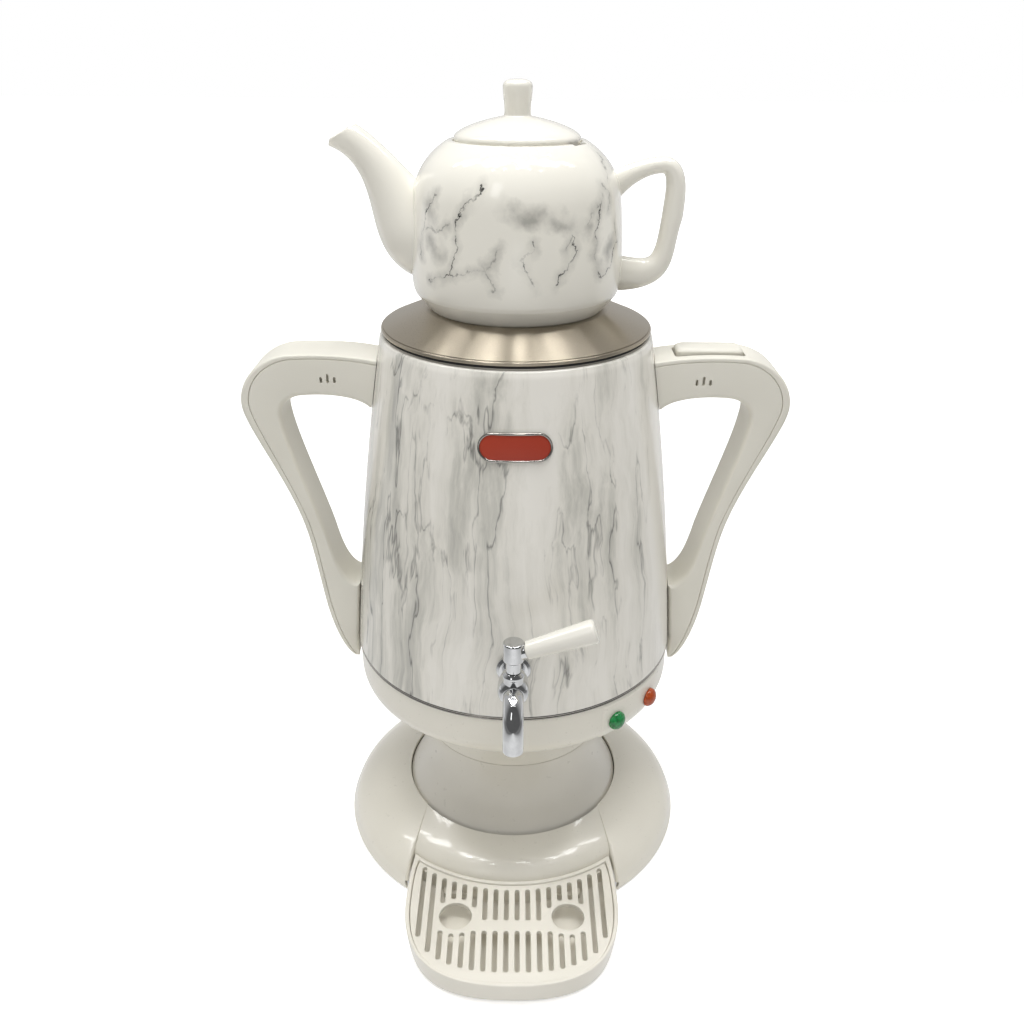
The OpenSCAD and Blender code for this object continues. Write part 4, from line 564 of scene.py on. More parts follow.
satin_abs = moulded("moulded_satin_abs", "#e4e1d5", "#e9e6db", 0.4, 0.9, 0.3)
ROCKER_X = 123.8
SLOT_X, SLOT_Z, SLOT_Y = 119.6, 353.5, 13.4
for tag, side in (("left", -1), ("right", 1)):
    grip = piece("handle_grip_" + tag, [strap(palm, seam, 4.0, 1.2, pad_from, side)], satin_abs)
    edge_line = seam + (spine - seam) * 0.02
    cover = piece("handle_back_" + tag, [strap(edge_line, spine, 0.35, 3.4, len(spine), side)], satin_abs)
    # Steam slots in the front and the back face: the middle one is taller
    for dx, tall in ((-4.3, 4.0), (0.0, 6.0), (4.3, 4.0)):
        for face in (-1, 1):
            slot = block(1.7, tall, 5.0, 0.84, 0.0)[0][..., [0, 2, 1]]
            slot = slot * [1, face, 1] + [side * (SLOT_X + dx), face * SLOT_Y, SLOT_Z + (tall - 4.0) / 2]
            cut(grip, "slot_tool", [(slot, True)])
    if side == 1:
        pocket = block(44.8, 21.2, 20.0, 2.5, 357.5, ROCKER_X)
        cut(grip, "pocket_tool", [pocket])
        cut(cover, "pocket_tool", [pocket])
    for made in (grip, cover):
        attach(made, "housing")
    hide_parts("handle_%s_shell" % tag)
    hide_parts("handle_%s_cover" % tag)

# ---- Rocker button ------------------------------------------------------------------------------
# The switch's long rocker fills a pocket in the right handle's cover. Its crown is a shallow arc both
# ways, and it is moulded in the same satin ABS.
L, W, LOW, WAIST, ROUND = 42.4, 18.8, 365.4, 371.2, 2.2
levels = []
for inset, z in ([(4, LOW), (0.4, LOW), (0.0, LOW + 0.5), (0.0, WAIST)]
                 + [(ROUND - ROUND * math.cos(a), WAIST + ROUND * math.sin(a))
                    for a in np.radians([12, 25, 40, 55, 70, 82, 90])]
                 + [(inset, WAIST + ROUND) for inset in (3.2, 5.0, 7.0, 9.2)]):
    corner = min(3.5, max(0.14, W / 2 - inset - 0.01))
    outline = block(L - 2 * inset, max(W - 2 * inset, 0.3), 1, corner, z, ROCKER_X, n=9)[0][1]
    levels.append(outline)
levels = np.array(levels)
# Above its waist the button is crowned: it falls off by x^2 / 2R along and y^2 / 2R across
x, y = levels[4:, :, 0] - ROCKER_X, levels[4:, :, 1]
levels[4:, :, 2] += 0.85 - x ** 2 / 300 - y ** 2 / 160
# The innermost ring is drawn together into the crown's ridge
levels[-1, :, 1] = 0
levels = np.concatenate([levels[:1] * [0, 0, 1] + [ROCKER_X, 0, 0], levels])
button = piece("rocker_cap", [(levels, True)], satin_abs)
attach(button, "switch_button")
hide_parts("rocker_button")

# ---- Boiler lid ---------------------------------------------------------------------------------
# A spun cone of stainless steel with a rolled bead, a flat seat for the teapot and a steam opening.
# Brushing on the lathe leaves rings, which gather the light in bright fans.
spun_steel = metal("spun_brushed_stainless", "#b5ab99", "#c6bcab", 0.31, 0.5, lift=0.05)


def lathe_brushed(made):
    """Makes the metal stretch each light across its rings, into a fan that runs from the rim to the middle."""
    tree = made.node_tree
    around = add(tree, "Tangent", direction_type="RADIAL", axis="Z")
    plug(tree.nodes["Principled BSDF"], {"Anisotropic": 1.0, "Anisotropic Rotation": 0.25, "Tangent": around})


lathe_brushed(spun_steel)
bead = np.radians(np.linspace(-80, 150, 14))
cone_line = np.vstack([
    [[82.5, 385.9], [82.6, 384.9], [83.4, 384.85]],
    np.stack([84.1 + 1.25 * np.cos(bead), 386.1 + 1.25 * np.sin(bead)], 1),
    rounded([(84.0, 387.7, 0), (58.2, 398.75, 2.0), (45.6, 398.75, 0.6), (45.6, 400.2, 0.4), (44.6, 400.2, 0.4),
             (44.6, 392.8, 0)])])
cone = piece("lid_cone_spun", [turned(cone_line, 360)], spun_steel, 40)
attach(cone, "boiler_lid")
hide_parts("lid_cone")
dress(drawn_steel, "lid_skirt")
dress(black_rubber, "lid_seal", "tap_gasket", "tap_spacer", "tap_washer")

# ---- Teapot -------------------------------------------------------------------------------------
# Slip-cast porcelain with a clear glaze over a grey marble print. The spout and the looped handle are
# cast with the body and blend into it.
Z_SEAT, Z_POT, PRINT_R = 398.7, 496.2, 0.0647
# Veins of the print as chains of (degrees from the front, height): black cracks, grey ones and smoke
PRINT_BLACK = [[(-18, 476), (-30, 461), (-33, 455), (-31, 447), (-37, 428)],
               [(-52, 423), (-37, 428), (-19, 433)],
               [(-48, 471), (-55, 459), (-60, 447), (-60, 434)],
               [(10, 448), (10, 444), (4, 440), (6, 432)],
               [(29, 452), (32, 445), (26, 437), (21, 424)],
               [(50, 472), (50, 465), (46, 448), (42, 438), (50, 427), (58, 431), (66, 444)]]
PRINT_GREY = [[(-54, 453), (-41, 452), (-38, 456)], [(-19, 433), (-14, 434), (-9, 446)], [(-16, 436), (-11, 424)],
              [(6, 432), (8, 425)], [(29, 452), (26, 444), (26, 437)], [(50, 465), (42, 463), (39, 456)],
              [(53, 476), (59, 471), (56, 462)], [(66, 444), (63, 455)], [(70, 492), (65, 484), (60, 477)]]
PRINT_SMOKE = [[(-5, 466), (3, 461), (15, 462), (28, 457), (40, 455)],
               [(-52, 464), (-50, 458)], [(-50, 446), (-44, 440)], [(60, 443), (55, 438)]]


def near_line(tree, sheet, chains):
    """Distance in metres, ready to be linked, from a place on the sheet to the nearest piece of the chains."""
    nearest = None
    for chain in chains:
        ends = [Vector((math.radians(turn) * PRINT_R, high * 0.001, 0)) for turn, high in chain]
        for first, last in zip(ends, ends[1:]):
            step = last - first
            gap = add(tree, "VectorMath", [sheet, first], operation="SUBTRACT")
            share = add(tree, "VectorMath", [gap, step / step.length_squared], operation="DOT_PRODUCT")
            held = add(tree, "Clamp", [(share, "Value")])
            foot = add(tree, "VectorMath", {0: step, "Scale": held}, operation="SCALE")
            away = (add(tree, "VectorMath", [gap, foot], operation="DISTANCE"), "Value")
            nearest = add(tree, "Math", [away, nearest], operation="MINIMUM") if nearest else away
    return nearest


def glazed(name, printed):
    """White porcelain under glaze. printed adds the smoky, crack-like veins of the marble sheet."""
    made, tree, shader, place = blank_material(name)
    body = add(tree, "TexNoise", {"Vector": place, "Scale": 18.0, "Detail": 2.0})
    result = add(tree, "ValToRGB", [body], [(0.3, "#f0ede2"), (0.7, "#f4f1e7")])
    flat = add(tree, "VectorMath", [place, (1, 1, 0)], operation="MULTIPLY")
    radius = (add(tree, "VectorMath", [flat], operation="LENGTH"), "Value")
    if printed:
        # The sheet lies on both sides of the pot, from the spout to the handle. It is flat in (arc, height), and a
        # fractal noise bends it by up to 3 mm, so that each drawn line becomes a crack.
        spot = warped(tree, place, 70.0, 6.0, 0.62, (0.016, 0.016, 0.016))
        folded = add(tree, "Math", [azimuth(tree, spot), math.pi / 2, -math.pi / 2], operation="WRAP")
        arc = add(tree, "Math", [folded, PRINT_R], operation="MULTIPLY")
        sheet = add(tree, "CombineXYZ", {"X": arc, "Y": (add(tree, "SeparateXYZ", [spot]), "Z")})
        black, grey, smoke = (near_line(tree, sheet, chains) for chains in (PRINT_BLACK, PRINT_GREY, PRINT_SMOKE))
        line = add(tree, "MapRange", [black, 0.0001, 0.0007, 1.0, 0.0])
        soft = add(tree, "MapRange", [grey, 0.0, 0.0012, 0.6, 0.0])
        lines = add(tree, "Math", [line, soft], operation="MAXIMUM")
        # The ink breaks off along the veins, and pools in places
        broken = add(tree, "TexNoise", {"Vector": place, "Scale": 120.0, "Detail": 4.0})
        ink_on = add(tree, "MapRange", [broken, 0.40, 0.58, 0.25, 1.0])
        inked = add(tree, "Math", [lines, ink_on], operation="MULTIPLY")
        # A patchy haze lies along the veins and in the smoke
        vein = add(tree, "Math", [black, grey], operation="MINIMUM")
        halo = add(tree, "MapRange", [vein, 0.0, 0.0055, 0.32, 0.0])
        cloud = add(tree, "MapRange", [smoke, 0.001, 0.0085, 0.5, 0.0])
        haze = add(tree, "Math", [halo, cloud], operation="MAXIMUM")
        patchy = add(tree, "TexNoise", {"Vector": place, "Scale": 60.0, "Detail": 5.0})
        thick = add(tree, "MapRange", [patchy, 0.38, 0.60, 0.2, 1.0])
        smoky = add(tree, "Math", [haze, thick], operation="MULTIPLY")
        both = add(tree, "Math", [inked, smoky], operation="MAXIMUM")
        # The spout and the handle stay white
        near = add(tree, "MapRange", [radius, 0.0652, 0.0668, 1.0, 0.0])
        weight = add(tree, "Math", [both, near], operation="MULTIPLY")
        ink = add(tree, "Mix", {0: weight, 6: result, 7: colour("#262523")}, data_type="RGBA")
        result = (ink, 2)
    # Painted shade: below the lid's ledge and within 42.25 mm of the axis (the mouth, the lid's tenon and the rim's
    # notch) the colour is a dark grey-brown, painted as the shade in the gap under the lid's edge
    part = add(tree, "SeparateXYZ", [place])
    under = add(tree, "Math", [(part, "Z"), Z_POT * 0.001 - 0.0023], operation="LESS_THAN")
    within = add(tree, "Math", [radius, 0.04225], operation="LESS_THAN")
    painted_mouth_shade = add(tree, "Math", [under, within], operation="MULTIPLY")
    whole = add(tree, "Mix", {0: painted_mouth_shade, 6: result, 7: colour("#5d574c")}, data_type="RGBA")
    plug(shader, {"Base Color": (whole, 2), "Roughness": 0.1, "Coat Weight": 0.5, "Coat Roughness": 0.03,
                  "IOR": 1.52})
    return made


porcelain = glazed("glazed_porcelain_marble_print", True)
# The pot's outline, with heights above its seat: outside up to the ledge of the lid, and down inside
pot_line = np.vstack([
    [[0.0, 2.6], [46.0, 2.6]],
    rounded([(48.0, 2.4, 0), (48.6, 0.05, 0.7), (54.2, 0.05, 0.4), (55.0, 0.85, 0.4), (62.7, 10.2, 1.4),
             (63.5, 12.4, 0)]),
    curve((63.5, 12.4), (64.3, 15.0), (64.7, 20.0), (64.7, 28.5), 20)[1:],
    curve((64.7, 28.5), (64.7, 42.0), (63.6, 56.0), (62.3, 67.4), 20)[1:],
    curve((62.3, 67.4), (60.4, 81.9), (51.0, 91.7), (41.3, 97.4), 36)[1:],
    rounded([(41.3, 97.4, 0), (38.2, 97.6, 0.6), (38.05, 95.5, 0.4), (33.5, 95.5, 0.5), (33.5, 90.5, 0)])[1:],
    curve((33.5, 90.5), (45.5, 87.7), (55.7, 80.0), (58.2, 66.5), 16)[1:],
    curve((58.2, 66.5), (60.7, 50.0), (60.7, 16.0), (56.5, 11.0), 16)[1:],
    [[50.0, 6.5], [0.0, 6.5]]]) + [0, Z_SEAT]
pot_form = turned(pot_line, 360)
# Notch in the rim, 13 mm wide and 60 degrees to the right of the front: a gap under the lid's edge, whose dark
# colour is painted shade from the glaze material
NOTCH_TURN, NOTCH_HALF, NOTCH_FLOOR = math.radians(60), 6.5, Z_POT - 6.8
x, y, z = np.moveaxis(pot_form[0], -1, 0)
reach = np.hypot(x, y)
across = np.abs(x * math.cos(NOTCH_TURN) + y * math.sin(NOTCH_TURN))
inside = (x > 0) & (across < NOTCH_HALF) & (reach > 33.2) & (reach < 41.5) & (z > NOTCH_FLOOR)
z[inside] = NOTCH_FLOOR


def swept(path, high, wide, m=40):
    """A tube along a path in the XZ plane, with an oval section of half sizes high and wide at each point."""
    way = np.gradient(path, axis=0)
    way /= np.linalg.norm(way, axis=1)[:, None]
    a = 2 * np.pi * (np.arange(m) + 0.5) / m
    return np.stack([path[:, :1] - way[:, 1:] * high[:, None] * np.cos(a), wide[:, None] * np.sin(a),
                     path[:, 1:] + way[:, :1] * high[:, None] * np.cos(a)], -1)


# Spout: it swings out of the belly, narrows, and is cut off at a slant
STEPS, LIP_STEPS = 60, 6
spout_path = curve((-50, 43.7), (-71.7, 41.7), (-72.1, 86.6), (-106.7, 101.9), STEPS) + [0, Z_SEAT]
girth = curve((29.2, 0), (23.8, 0), (6.7, 0), (9.6, 0), STEPS)[:, 0]
bore_girth = girth - np.linspace(4.5, 2.6, STEPS)
slant = np.array([-math.cos(math.radians(59.4)), 0, math.sin(math.radians(59.4))])
lip = np.array([-103.0, 0, Z_POT + 3.3])


def clipped(grid):
    """Rows past the slanted mouth are pushed back onto its plane."""
    over = np.clip((grid - lip) @ slant, 0, None)
    return grid - over[..., None] * slant


spout, bore = (clipped(swept(spout_path, size, size * np.linspace(0.8, 1, STEPS))) for size in (girth, bore_girth))
share = np.linspace(0, 1, LIP_STEPS)[1:-1, None, None]
mouth = spout[-1] + (bore[-1] - spout[-1]) * share + slant * (0.7 * np.sin(np.pi * share))
spout = np.concatenate([spout, mouth, bore[::-1][:45]])
# Handle: a loop with a flat-sided oval section, thicker at its roots
loop = joined(curve((54.5, 70.6), (64.3, 77.7), (76.6, 84.2), (86.9, 84.1), 30),
              curve((86.9, 84.1), (97.5, 83.2), (95.0, 66.1), (94.2, 54.7), 30),
              curve((94.2, 54.7), (89.4, 29.6), (94.2, 16.2), (55.7, 21.0), 40)) + [0, Z_SEAT]
thick = joined(curve((9.6, 0), (5.7, 0), (4.6, 0), (4.9, 0), 30), curve((4.9, 0), (5.4, 0), (6.4, 0), (6.4, 0), 30),
               curve((6.4, 0), (4.6, 0), (8.2, 0), (11.5, 0), 40))[:, 0]
loop_form = swept(loop, thick, 7 - np.sin(np.linspace(0, np.pi, len(loop))))
pot = piece("teapot_porcelain", [pot_form, (spout, True), (loop_form, True)], porcelain)
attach(pot, "teapot")
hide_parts("teapot_body")

# ---- Teapot lid ---------------------------------------------------------------------------------
# A lens-shaped lid with a tall straight knob; a tenon centres it in the teapot's mouth.
# Heights above the ledge it lies on
LEDGE, KNOB_H = Z_POT - 2.0, 34.75
lid_line = np.vstack([
    rounded([(0.0, 1.0, 0), (28.0, 1.0, 0.5), (29.0, -9.0, 0.5), (33.0, -9.0, 1.0), (33.0, 0.05, 0.2),
             (37.2, 0.05, 0.6), (37.4, 2.8, 0)])[:-1],
    curve((37.4, 2.8), (38.3, 7.2), (22.4, 12.5), (8.3, 15.1), 40),
    curve((8.3, 15.1), (7.9, 15.3), (7.75, 16.0), (7.8, 17.4), 8)[1:],
    curve((7.8, 17.4), (7.8, 22.0), (8.55, 26.0), (8.65, 30.4), 14)[1:],
    curve((8.65, 30.4), (8.65, 33.4), (6.4, KNOB_H), (0.0, KNOB_H), 16)[1:]]) + [0, LEDGE]
plain_glaze = glazed("glazed_porcelain_white", False)
pot_lid = piece("teapot_lid_porcelain", [turned(lid_line, 200)], plain_glaze)
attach(pot_lid, "teapot_cover")
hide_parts("teapot_lid")

# ---- Tap ----------------------------------------------------------------------------------------
# Cast and turned brass, chrome plated: a flange on the shell, a round body with an upright plug, and a
# spout that bends down. The turret cap carries the lever.
chrome = metal("polished_chrome_plate", "#cfd0d1", "#dcddde", 0.04, 6.0, lift=0.04)
TAP_Z = 199.0
FACE_Y = shell_r(TAP_Z) + 1.6
TAP_Y = shell_r(TAP_Z) + 23.6


def turned_forward(line, around=96):
    """A line of (radius, depth) turned about the tap's level bore; depth runs to the front."""
    a = np.linspace(0, 2 * np.pi, around, endpoint=False)
    r, d = line[:, :1], line[:, 1:]
    return np.stack([r * np.cos(a), -d + 0 * a, TAP_Z + r * np.sin(a)], -1), True


def turned_upright(line, around=96):
    """A line of (radius, height) turned about the tap's upright axis."""
    points, _ = turned(line, around)
    return points + [0, -TAP_Y, 0], True


barrel = np.vstack([[[7.0, 85.0], [7.0, FACE_Y + 3.0]],
                    curve((7.3, FACE_Y + 3.2), (7.3, FACE_Y + 6), (7.5, FACE_Y + 8), (8.2, FACE_Y + 10), 8),
                    curve((8.2, FACE_Y + 10), (9.0, FACE_Y + 11.6), (9.6, TAP_Y - 7), (9.65, TAP_Y - 1), 12)[1:],
                    curve((9.65, TAP_Y - 1), (9.65, TAP_Y + 3.4), (8.6, TAP_Y + 5.4), (6.3, TAP_Y + 6.5), 12)[1:],
                    [[0.0, TAP_Y + 6.5]]])
turn = np.radians(np.linspace(0, 90, 30))
BEND_R, BEND_Y = 17.0, TAP_Y + 6.0
bend_path = np.vstack([[[0.0, 2 - BEND_Y, TAP_Z]],
                       np.stack([0 * turn, -BEND_Y - BEND_R * np.sin(turn),
                                 TAP_Z - BEND_R + BEND_R * np.cos(turn)], 1),
                       [[0.0, -BEND_Y - BEND_R, TAP_Z - low] for low in (21.0, 25.7)]])


def tube(path, radii, around=48):
    """A round tube along a path in the YZ plane, with a radius at each point."""
    way = np.gradient(path, axis=0)
    way /= np.linalg.norm(way, axis=1)[:, None]
    a = np.linspace(0, 2 * np.pi, around, endpoint=False)
    up = np.stack([0 * way[:, 0], -way[:, 2], way[:, 1]], 1)
    return path[:, None] + radii[:, None, None] * (np.cos(a)[None, :, None] * np.array([1.0, 0, 0])
                                                   + np.sin(a)[None, :, None] * up[:, None])


way_out = tube(bend_path, np.full(len(bend_path), 6.25))
# Its open end: a rounded rim, then the bore 12 mm up, as (share of the radius, rise)
end, centre = way_out[-1], bend_path[-1]
tip = np.array([centre + (end - centre) * share + [0, 0, up] for share, up in
                ((1.0, -0.2), (0.97, -0.55), (0.9, -0.75), (0.78, -0.75), (0.7, -0.55), (0.66, 0.0), (0.62, 12.0),
                 (0.0, 14.0))])
spout_form = np.concatenate([way_out, tip])
BORE_R, NECK_R, NECK_TOP = 2.9, 6.4, 209.6
tower = turned_upright(np.array([[NECK_R, TAP_Z], [NECK_R, NECK_TOP], [BORE_R, NECK_TOP]]))
body = piece("tap_casting", [turned_forward(barrel), (spout_form, True), tower], chrome)
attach(body, "housing")
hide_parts("tap_body")
collar_line = rounded([(BORE_R, 209.65, 0), (6.8, 209.65, 0.3), (6.8, 211.4, 0.6), (5.0, 213.1, 0.4),
                       (BORE_R, 213.1, 0)])
collar = piece("tap_bonnet_ring", [turned_upright(collar_line)], chrome)
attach(collar, "housing")
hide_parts("tap_bonnet")
plate_line = np.vstack([
    [[7.1, FACE_Y]],
    rounded([(10.75, FACE_Y, 0.1), (10.75, FACE_Y + 1.2, 0.8), (8.9, FACE_Y + 2.9, 0.6), (7.12, FACE_Y + 2.9, 0)])])
flange = piece("tap_wall_flange", [turned_forward(plate_line)], chrome)
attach(flange, "housing")
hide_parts("tap_flange")
dress(metal("turned_brass", "#a8843f", "#c39a50", 0.25, 0.5, (1, 1, 4)), "tap_plug")
CAP_R, CAP_TOP = 6.3, 233.8
cap_line = rounded([(0.0, 213.5, 0), (4.6, 213.5, 0.3), (4.6, 221.2, 0.5), (6.0, 221.2, 0.3), (CAP_R, 221.8, 0.3),
                    (CAP_R, CAP_TOP, 1.1), (0.0, CAP_TOP, 0)])
LEVER_Z, RISE, LEVER_FROM = 225.1, math.radians(19.5), 7.9
a = np.linspace(0, 2 * np.pi, 72, endpoint=False)
along, up = np.array([math.cos(RISE), 0, math.sin(RISE)]), np.array([-math.sin(RISE), 0, math.cos(RISE)])


def on_lever(line):
    """A line of (radius, distance) turned about the lever's rising axis, which starts on the tap's upright axis."""
    ring = np.cos(a)[None, :, None] * up + np.sin(a)[None, :, None] * np.array([0, 1.0, 0])
    return line[:, None, 1:] * along + line[:, None, :1] * ring + [0, -TAP_Y, LEVER_Z], True


boss = on_lever(rounded([(0.0, 2.0, 0), (4.6, 2.0, 0), (4.6, LEVER_FROM - 0.05, 0.3), (0.0, LEVER_FROM - 0.05, 0)]))
cap = piece("tap_turret_cap", [turned_upright(cap_line), boss], chrome)
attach(cap, "tap_valve")
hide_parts("tap_cap")

# ---- Tap lever ----------------------------------------------------------------------------------
# A tapered lever of glossy white plastic with a blunt end, pushed onto a peg in the turret cap.
LEVER_L = 51.25
lever_form, _ = on_lever(np.vstack([
    rounded([(0.0, LEVER_FROM, 0), (5.55, LEVER_FROM, 0.7), (5.7, 12.0, 0)]),
    [[6.2, 22.0], [6.7, 32.0], [7.1, 41.0]],
    rounded([(7.4, 46.5, 0), (7.5, LEVER_L - 0.25, 2.3), (3.0, LEVER_L, 2.0), (0.0, LEVER_L, 0)], 9)]))
# The root clears the cap's round side by 0.35 mm
ROOT_R = CAP_R + 0.35
off = np.hypot(lever_form[..., 0], lever_form[..., 1] + TAP_Y)[..., None]
near = np.maximum(1, ROOT_R / np.maximum(off, 0.1))
lever_form = (lever_form - [0, -TAP_Y, 0]) * np.concatenate([near, near, np.ones_like(near)], -1) + [0, -TAP_Y, 0]
white_abs = moulded("moulded_white_abs", "#e6e3d9", "#eae7de", 0.2, 3.0, 0.05, 0.5)
lever = piece("tap_lever_rod", [(lever_form, True)], white_abs)
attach(lever, "tap_valve")
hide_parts("tap_lever")

# ---- Drip tray ----------------------------------------------------------------------------------
# A deep moulded tray with a rolled front and a concave back that fits the pedestal's apron. A tongue
# at its back slides in under the apron.
TRAY_W, TRAY_FRONT, TRAY_BACK_R = 72.7, 194.3, 110.1


def tray_outline(w, n=60):
    """The tray's outline inset by w: right side from the back corner to the nose, the left side mirrored, and the
    back arc of radius TRAY_BACK_R + w."""
    r = TRAY_BACK_R + w
    corner, side, nose = 70.0 - w, TRAY_W - w, w - TRAY_FRONT
    right = joined(
        curve((corner, -math.sqrt(r * r - corner * corner)), (corner + 1.6, -96 - w / 2), (side, -106),
              (side, -126), n // 2),
        curve((side, -126), (side, -126 - 0.77 * (TRAY_FRONT - 126)), (0.62 * TRAY_W, nose), (0, nose), n))
    back = np.linspace(-corner, corner, n)[1:-1]
    return np.vstack([right, right[::-1][1:] * [-1, 1], np.stack([back, -np.sqrt(r * r - back * back)], 1)])


def tray_rows(levels):
    """Outlines at a list of (inset, height)."""
    return np.array([np.column_stack([tray_outline(w), np.full(len(tray_outline(w)), z)]) for w, z in levels])


# From the foot up the outside, over the rim, down to the ledge of the grille and to the basin's floor
walls = [(3.9, 0.85), (3.0, 1.1), (2.3, 1.8), (2.0, 3.0), (1.3, 6.0), (0.6, 11.0), (0.15, 16.4), (0.0, 17.0),
         (0.12, 17.5), (0.45, 17.85), (0.95, 17.98), (2.2, 17.98), (2.65, 17.8), (2.9, 17.4), (2.95, 14.0),
         (5.9, 13.9), (6.0, 13.4), (6.2, 4.4), (7.0, 3.5), (8.2, 3.2)]
rows = tray_rows(walls)
low_mid, top_mid = (row * [0, 0, 1] + [0, -148, 0] for row in (rows[:1], rows[-1:]))
tongue = block(96.0, 18.0, 4.0, 2.0, 3.6, 0.0, -103.5)
tray = piece("drip_tray_moulding", [(np.concatenate([low_mid, rows, top_mid]), True), tongue],
             moulded("moulded_tray_abs", "#e5e1d5", "#eae6db", 0.32, 2.5, 0.1, 0.3))
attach(tray, "drip_tray")
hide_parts("drip_tray")

# ---- Grille -------------------------------------------------------------------------------------
# A flat moulded plate with two rows of slots and two finger holes; it drops into the tray's rim.
PITCH, SLOT_W, FINGER_R, FINGER_X, FINGER_Y, RING_R = 7.3, 3.3, 11.0, 38.0, 139.7, 14.4
ROUNDING, GRILLE_Z = 0.35, 15.5
flat_curve = bpy.data.curves.new("grille_outline", "CURVE")
flat_curve.dimensions = "2D"
flat_curve.fill_mode = "BOTH"
flat_curve.extrude = 0.00115
flat_curve.bevel_depth = ROUNDING * 0.001
flat_curve.bevel_resolution = 3


def closed_line(points):
    """Adds a closed polygon, in millimetres, to the grille's flat curve."""
    line = flat_curve.splines.new("POLY")
    line.points.add(len(points) - 1)
    line.points.foreach_set("co", np.insert(points * 0.001, 2, [[0.0], [1.0]], axis=1).ravel())
    line.use_cyclic_u = True


# The bevel grows out from the lines, so each lies its width inside the plate
closed_line(tray_outline(3.4 + ROUNDING))
hole_r, half = FINGER_R + ROUNDING, SLOT_W / 2 + ROUNDING
a = np.linspace(0, 2 * np.pi, 64, endpoint=False)
t = np.radians(np.linspace(0, 180, 9))
arch = half * np.stack([np.cos(t), np.sin(t)], 1)
for s in (-1, 1):
    closed_line(np.stack([s * FINGER_X + hole_r * np.cos(a), -FINGER_Y + hole_r * np.sin(a)], 1))
    for i in range(9):
        x = s * (i + 0.5) * PITCH
        ends = [(math.sqrt(117.0 ** 2 - x * x), 143.0), (151.5, TRAY_FRONT - 11 - 9.5 * (abs(x) / 48) ** 3)]
        # The two outermost slots run through, and the others stop at the finger hole's ring
        ends = {7: [(102.5, 168.5)], 8: [(97.0, 156.5)]}.get(i, ends)
        off = abs(abs(x) - FINGER_X)
        clear = math.sqrt(RING_R ** 2 - off ** 2) if off < RING_R else 0.0
        for start, stop in ends:
            if clear and start < FINGER_Y:
                stop = min(stop, FINGER_Y - clear)
            elif clear:
                start = max(start, FINGER_Y + clear)
            closed_line(np.vstack([arch + [x, -(start + half - ROUNDING)], -arch + [x, -(stop - half + ROUNDING)]]))
flat = placed("grille_flat", flat_curve)
bpy.context.view_layer.update()
grille_mesh = bpy.data.meshes.new_from_object(flat.evaluated_get(bpy.context.evaluated_depsgraph_get()))
bpy.data.objects.remove(flat)
grille_mesh.transform(Matrix.Translation((0, 0, GRILLE_Z * 0.001)))
grille_abs = moulded("moulded_grille_abs", "#e3dfd3", "#e8e4d9", 0.34, 1.6, 0.1, 0.2)
grille = finished("drip_grille_plate", grille_mesh, grille_abs, 40)
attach(grille, "drip_grille")
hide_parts("drip_grille")

# ---- Studio -------------------------------------------------------------------------------------
# A pale floor that shows as white to the camera but keeps the object's shadow, a dim room with a bright
# backdrop, the lamps and the viewing camera.
WHITE = (1, 1, 1, 1)
floor_mesh = bpy.data.meshes.new("floor")
floor_mesh.from_pydata([(-9, -9, 0), (9, -9, 0), (9, 9, 0), (-9, 9, 0)], [], [(0, 1, 2, 3)])
floor = placed("floor", floor_mesh)


def seen_directly(tree, rays):
    """Node that is 1 for what the camera sees itself or through clear plastic, and 0 for other light."""
    return add(tree, "Math", [(rays, "Is Camera Ray"), (rays, "Is Transmission Ray")], operation="MAXIMUM")


paper, tree, shader, place = blank_material("studio_paper")
plug(shader, {"Base Color": colour("#f4f3f1"), "Roughness": 0.9})
away = (add(tree, "VectorMath", [place], operation="LENGTH"), "Value")
bright = add(tree, "MapRange", [away, 0.25, 1.6, 0.42, 1.0])
glow = add(tree, "Emission", {"Color": WHITE, "Strength": bright})
both = add(tree, "AddShader", [shader, glow])
# Metal and glaze see the bright floor behind the object, and in front of it a lit lane with dim sides
spot = add(tree, "SeparateXYZ", [place])
aside = add(tree, "Math", [(spot, "X")], operation="ABSOLUTE")
lane = add(tree, "MapRange", [aside, 0.1, 0.8, 0.95, 0.2])
back = add(tree, "MapRange", [(spot, "Y"), -0.05, 0.45])
shown = add(tree, "Mix", {0: back, 2: lane, 3: 0.85})
mirrored = add(tree, "Emission", {"Color": WHITE, "Strength": shown})
rays = add(tree, "LightPath")
lit = add(tree, "MixShader", [seen_directly(tree, rays), shader, both])
pick = add(tree, "MixShader", [(rays, "Is Glossy Ray"), lit, mirrored])
plug(tree.nodes["Material Output"], {"Surface": pick})
floor_mesh.materials.append(paper)

world = bpy.data.worlds.new("studio_world")
bpy.context.scene.world = world
world.use_nodes = True
tree = world.node_tree
rays = add(tree, "LightPath")
way = add(tree, "SeparateXYZ", [(add(tree, "TexCoord"), "Generated")])
# The backdrop stands behind the object; the side where the camera stands is a dim room
behind = add(tree, "MapRange", [(way, "Y"), -0.25, 0.35, 0.12, 0.55])
mirrored = add(tree, "Mix", {0: (rays, "Is Glossy Ray"), 2: 0.26, 3: behind})
tone = add(tree, "Mix", {0: seen_directly(tree, rays), 2: mirrored, 3: 1.0})
plug(tree.nodes["Background"], {"Color": WHITE, "Strength": tone})

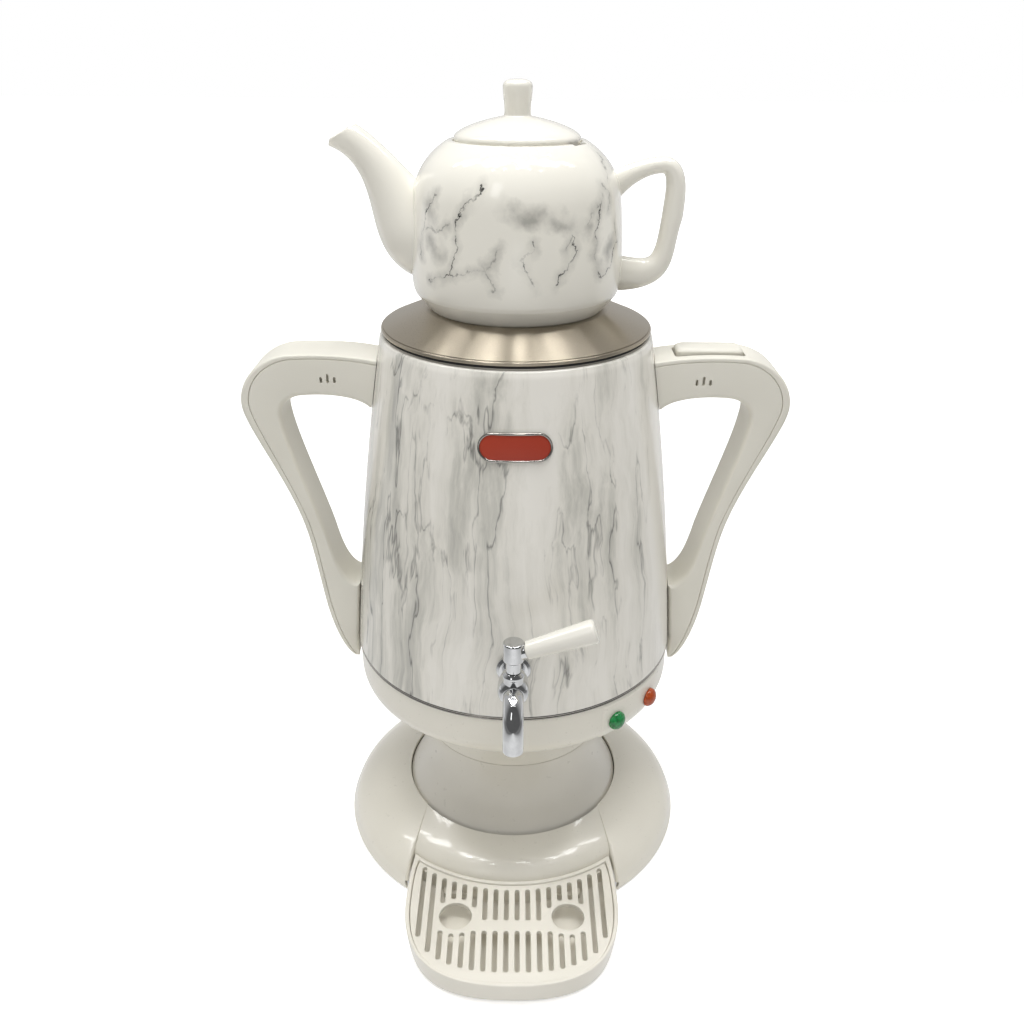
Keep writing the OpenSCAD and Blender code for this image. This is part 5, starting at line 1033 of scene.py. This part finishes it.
# Each lamp: name, place, what it looks at, width, height, watts, and whether metal and glaze mirror it. Large
# banks light the body without being mirrored. Overhead strips, each over one side of the spun lid, draw the
# fans on it. Small spots in a grid under the ceiling make highlights on glaze and chrome.
lamps = [("bank_front", (0.0, -1.6, 2.0), (0, 0, 0.25), 1.8, 1.0, 4.6, False),
         ("bank_top", (0.0, -0.75, 2.4), (0, 0, 0.1), 1.6, 0.8, 12.0, False),
         ("bank_left", (-1.7, -0.6, 1.3), (0, 0, 0.3), 0.9, 1.4, 1.6, False),
         ("bank_right", (1.7, -0.5, 1.3), (0, 0, 0.3), 0.9, 1.4, 0.6, False),
         ("bank_back", (0.0, 1.0, 2.2), (0, 0, 0.39), 1.2, 0.6, 3.0, False),
         ("window", (-0.62, -1.3, 1.5), (0, 0, 0.3), 0.3, 0.7, 1.2, True)]
for turn, wide in ((-40.6, 0.10), (-32, 0.22), (-17, 0.23), (-9.6, 0.12), (3, 0.20), (14.5, 0.13), (22, 0.26),
                   (33.6, 0.10)):
    place = (0.0365 * turn * (1 + 0.00006 * turn ** 2), 0.00052 * turn ** 2 - 0.25, 2.4)
    lamps.append(("strip_%+.0f" % turn, place, (0, 0, 0.39), wide, 0.5, 24 * wide, True))
for i in range(20):
    place = (-0.7 + 0.35 * (i % 5), -0.55 + 0.34 * (i // 5), 2.35)
    lamps.append(("ceiling_spot_%d" % i, place, (0, 0, 0.4), 0.07, 0.07, 0.25, True))
for name, place, aim, wide, tall, watts, mirrored in lamps:
    data = bpy.data.lights.new(name, "AREA")
    data.shape, data.size, data.size_y, data.energy = "RECTANGLE", wide, tall, watts
    lamp = placed(name, data)
    lamp.visible_glossy = mirrored
    look = np.array(aim) - np.array(place)
    lamp.matrix_world = Matrix.Translation(place) @ Vector(look).to_track_quat("-Z", "Y").to_matrix().to_4x4()

SENSOR, FOCAL_SHARE, TILT, ROLL = 36.0, 971.7 / 1024, 26.245, 0.421
view = bpy.data.cameras.new("camera")
view.sensor_width, view.lens = SENSOR, SENSOR * FOCAL_SHARE
view.shift_x, view.clip_start, view.clip_end = -0.0026, 0.02, 50
camera = placed("camera", view)
camera.matrix_world = (Matrix.Translation((0, -0.6077, 0.5523)) @ Matrix.Rotation(math.radians(90 - TILT), 4, "X")
                       @ Matrix.Rotation(math.radians(ROLL), 4, "Z"))
bpy.context.scene.camera = camera
bpy.context.scene.view_settings.view_transform = "Standard"
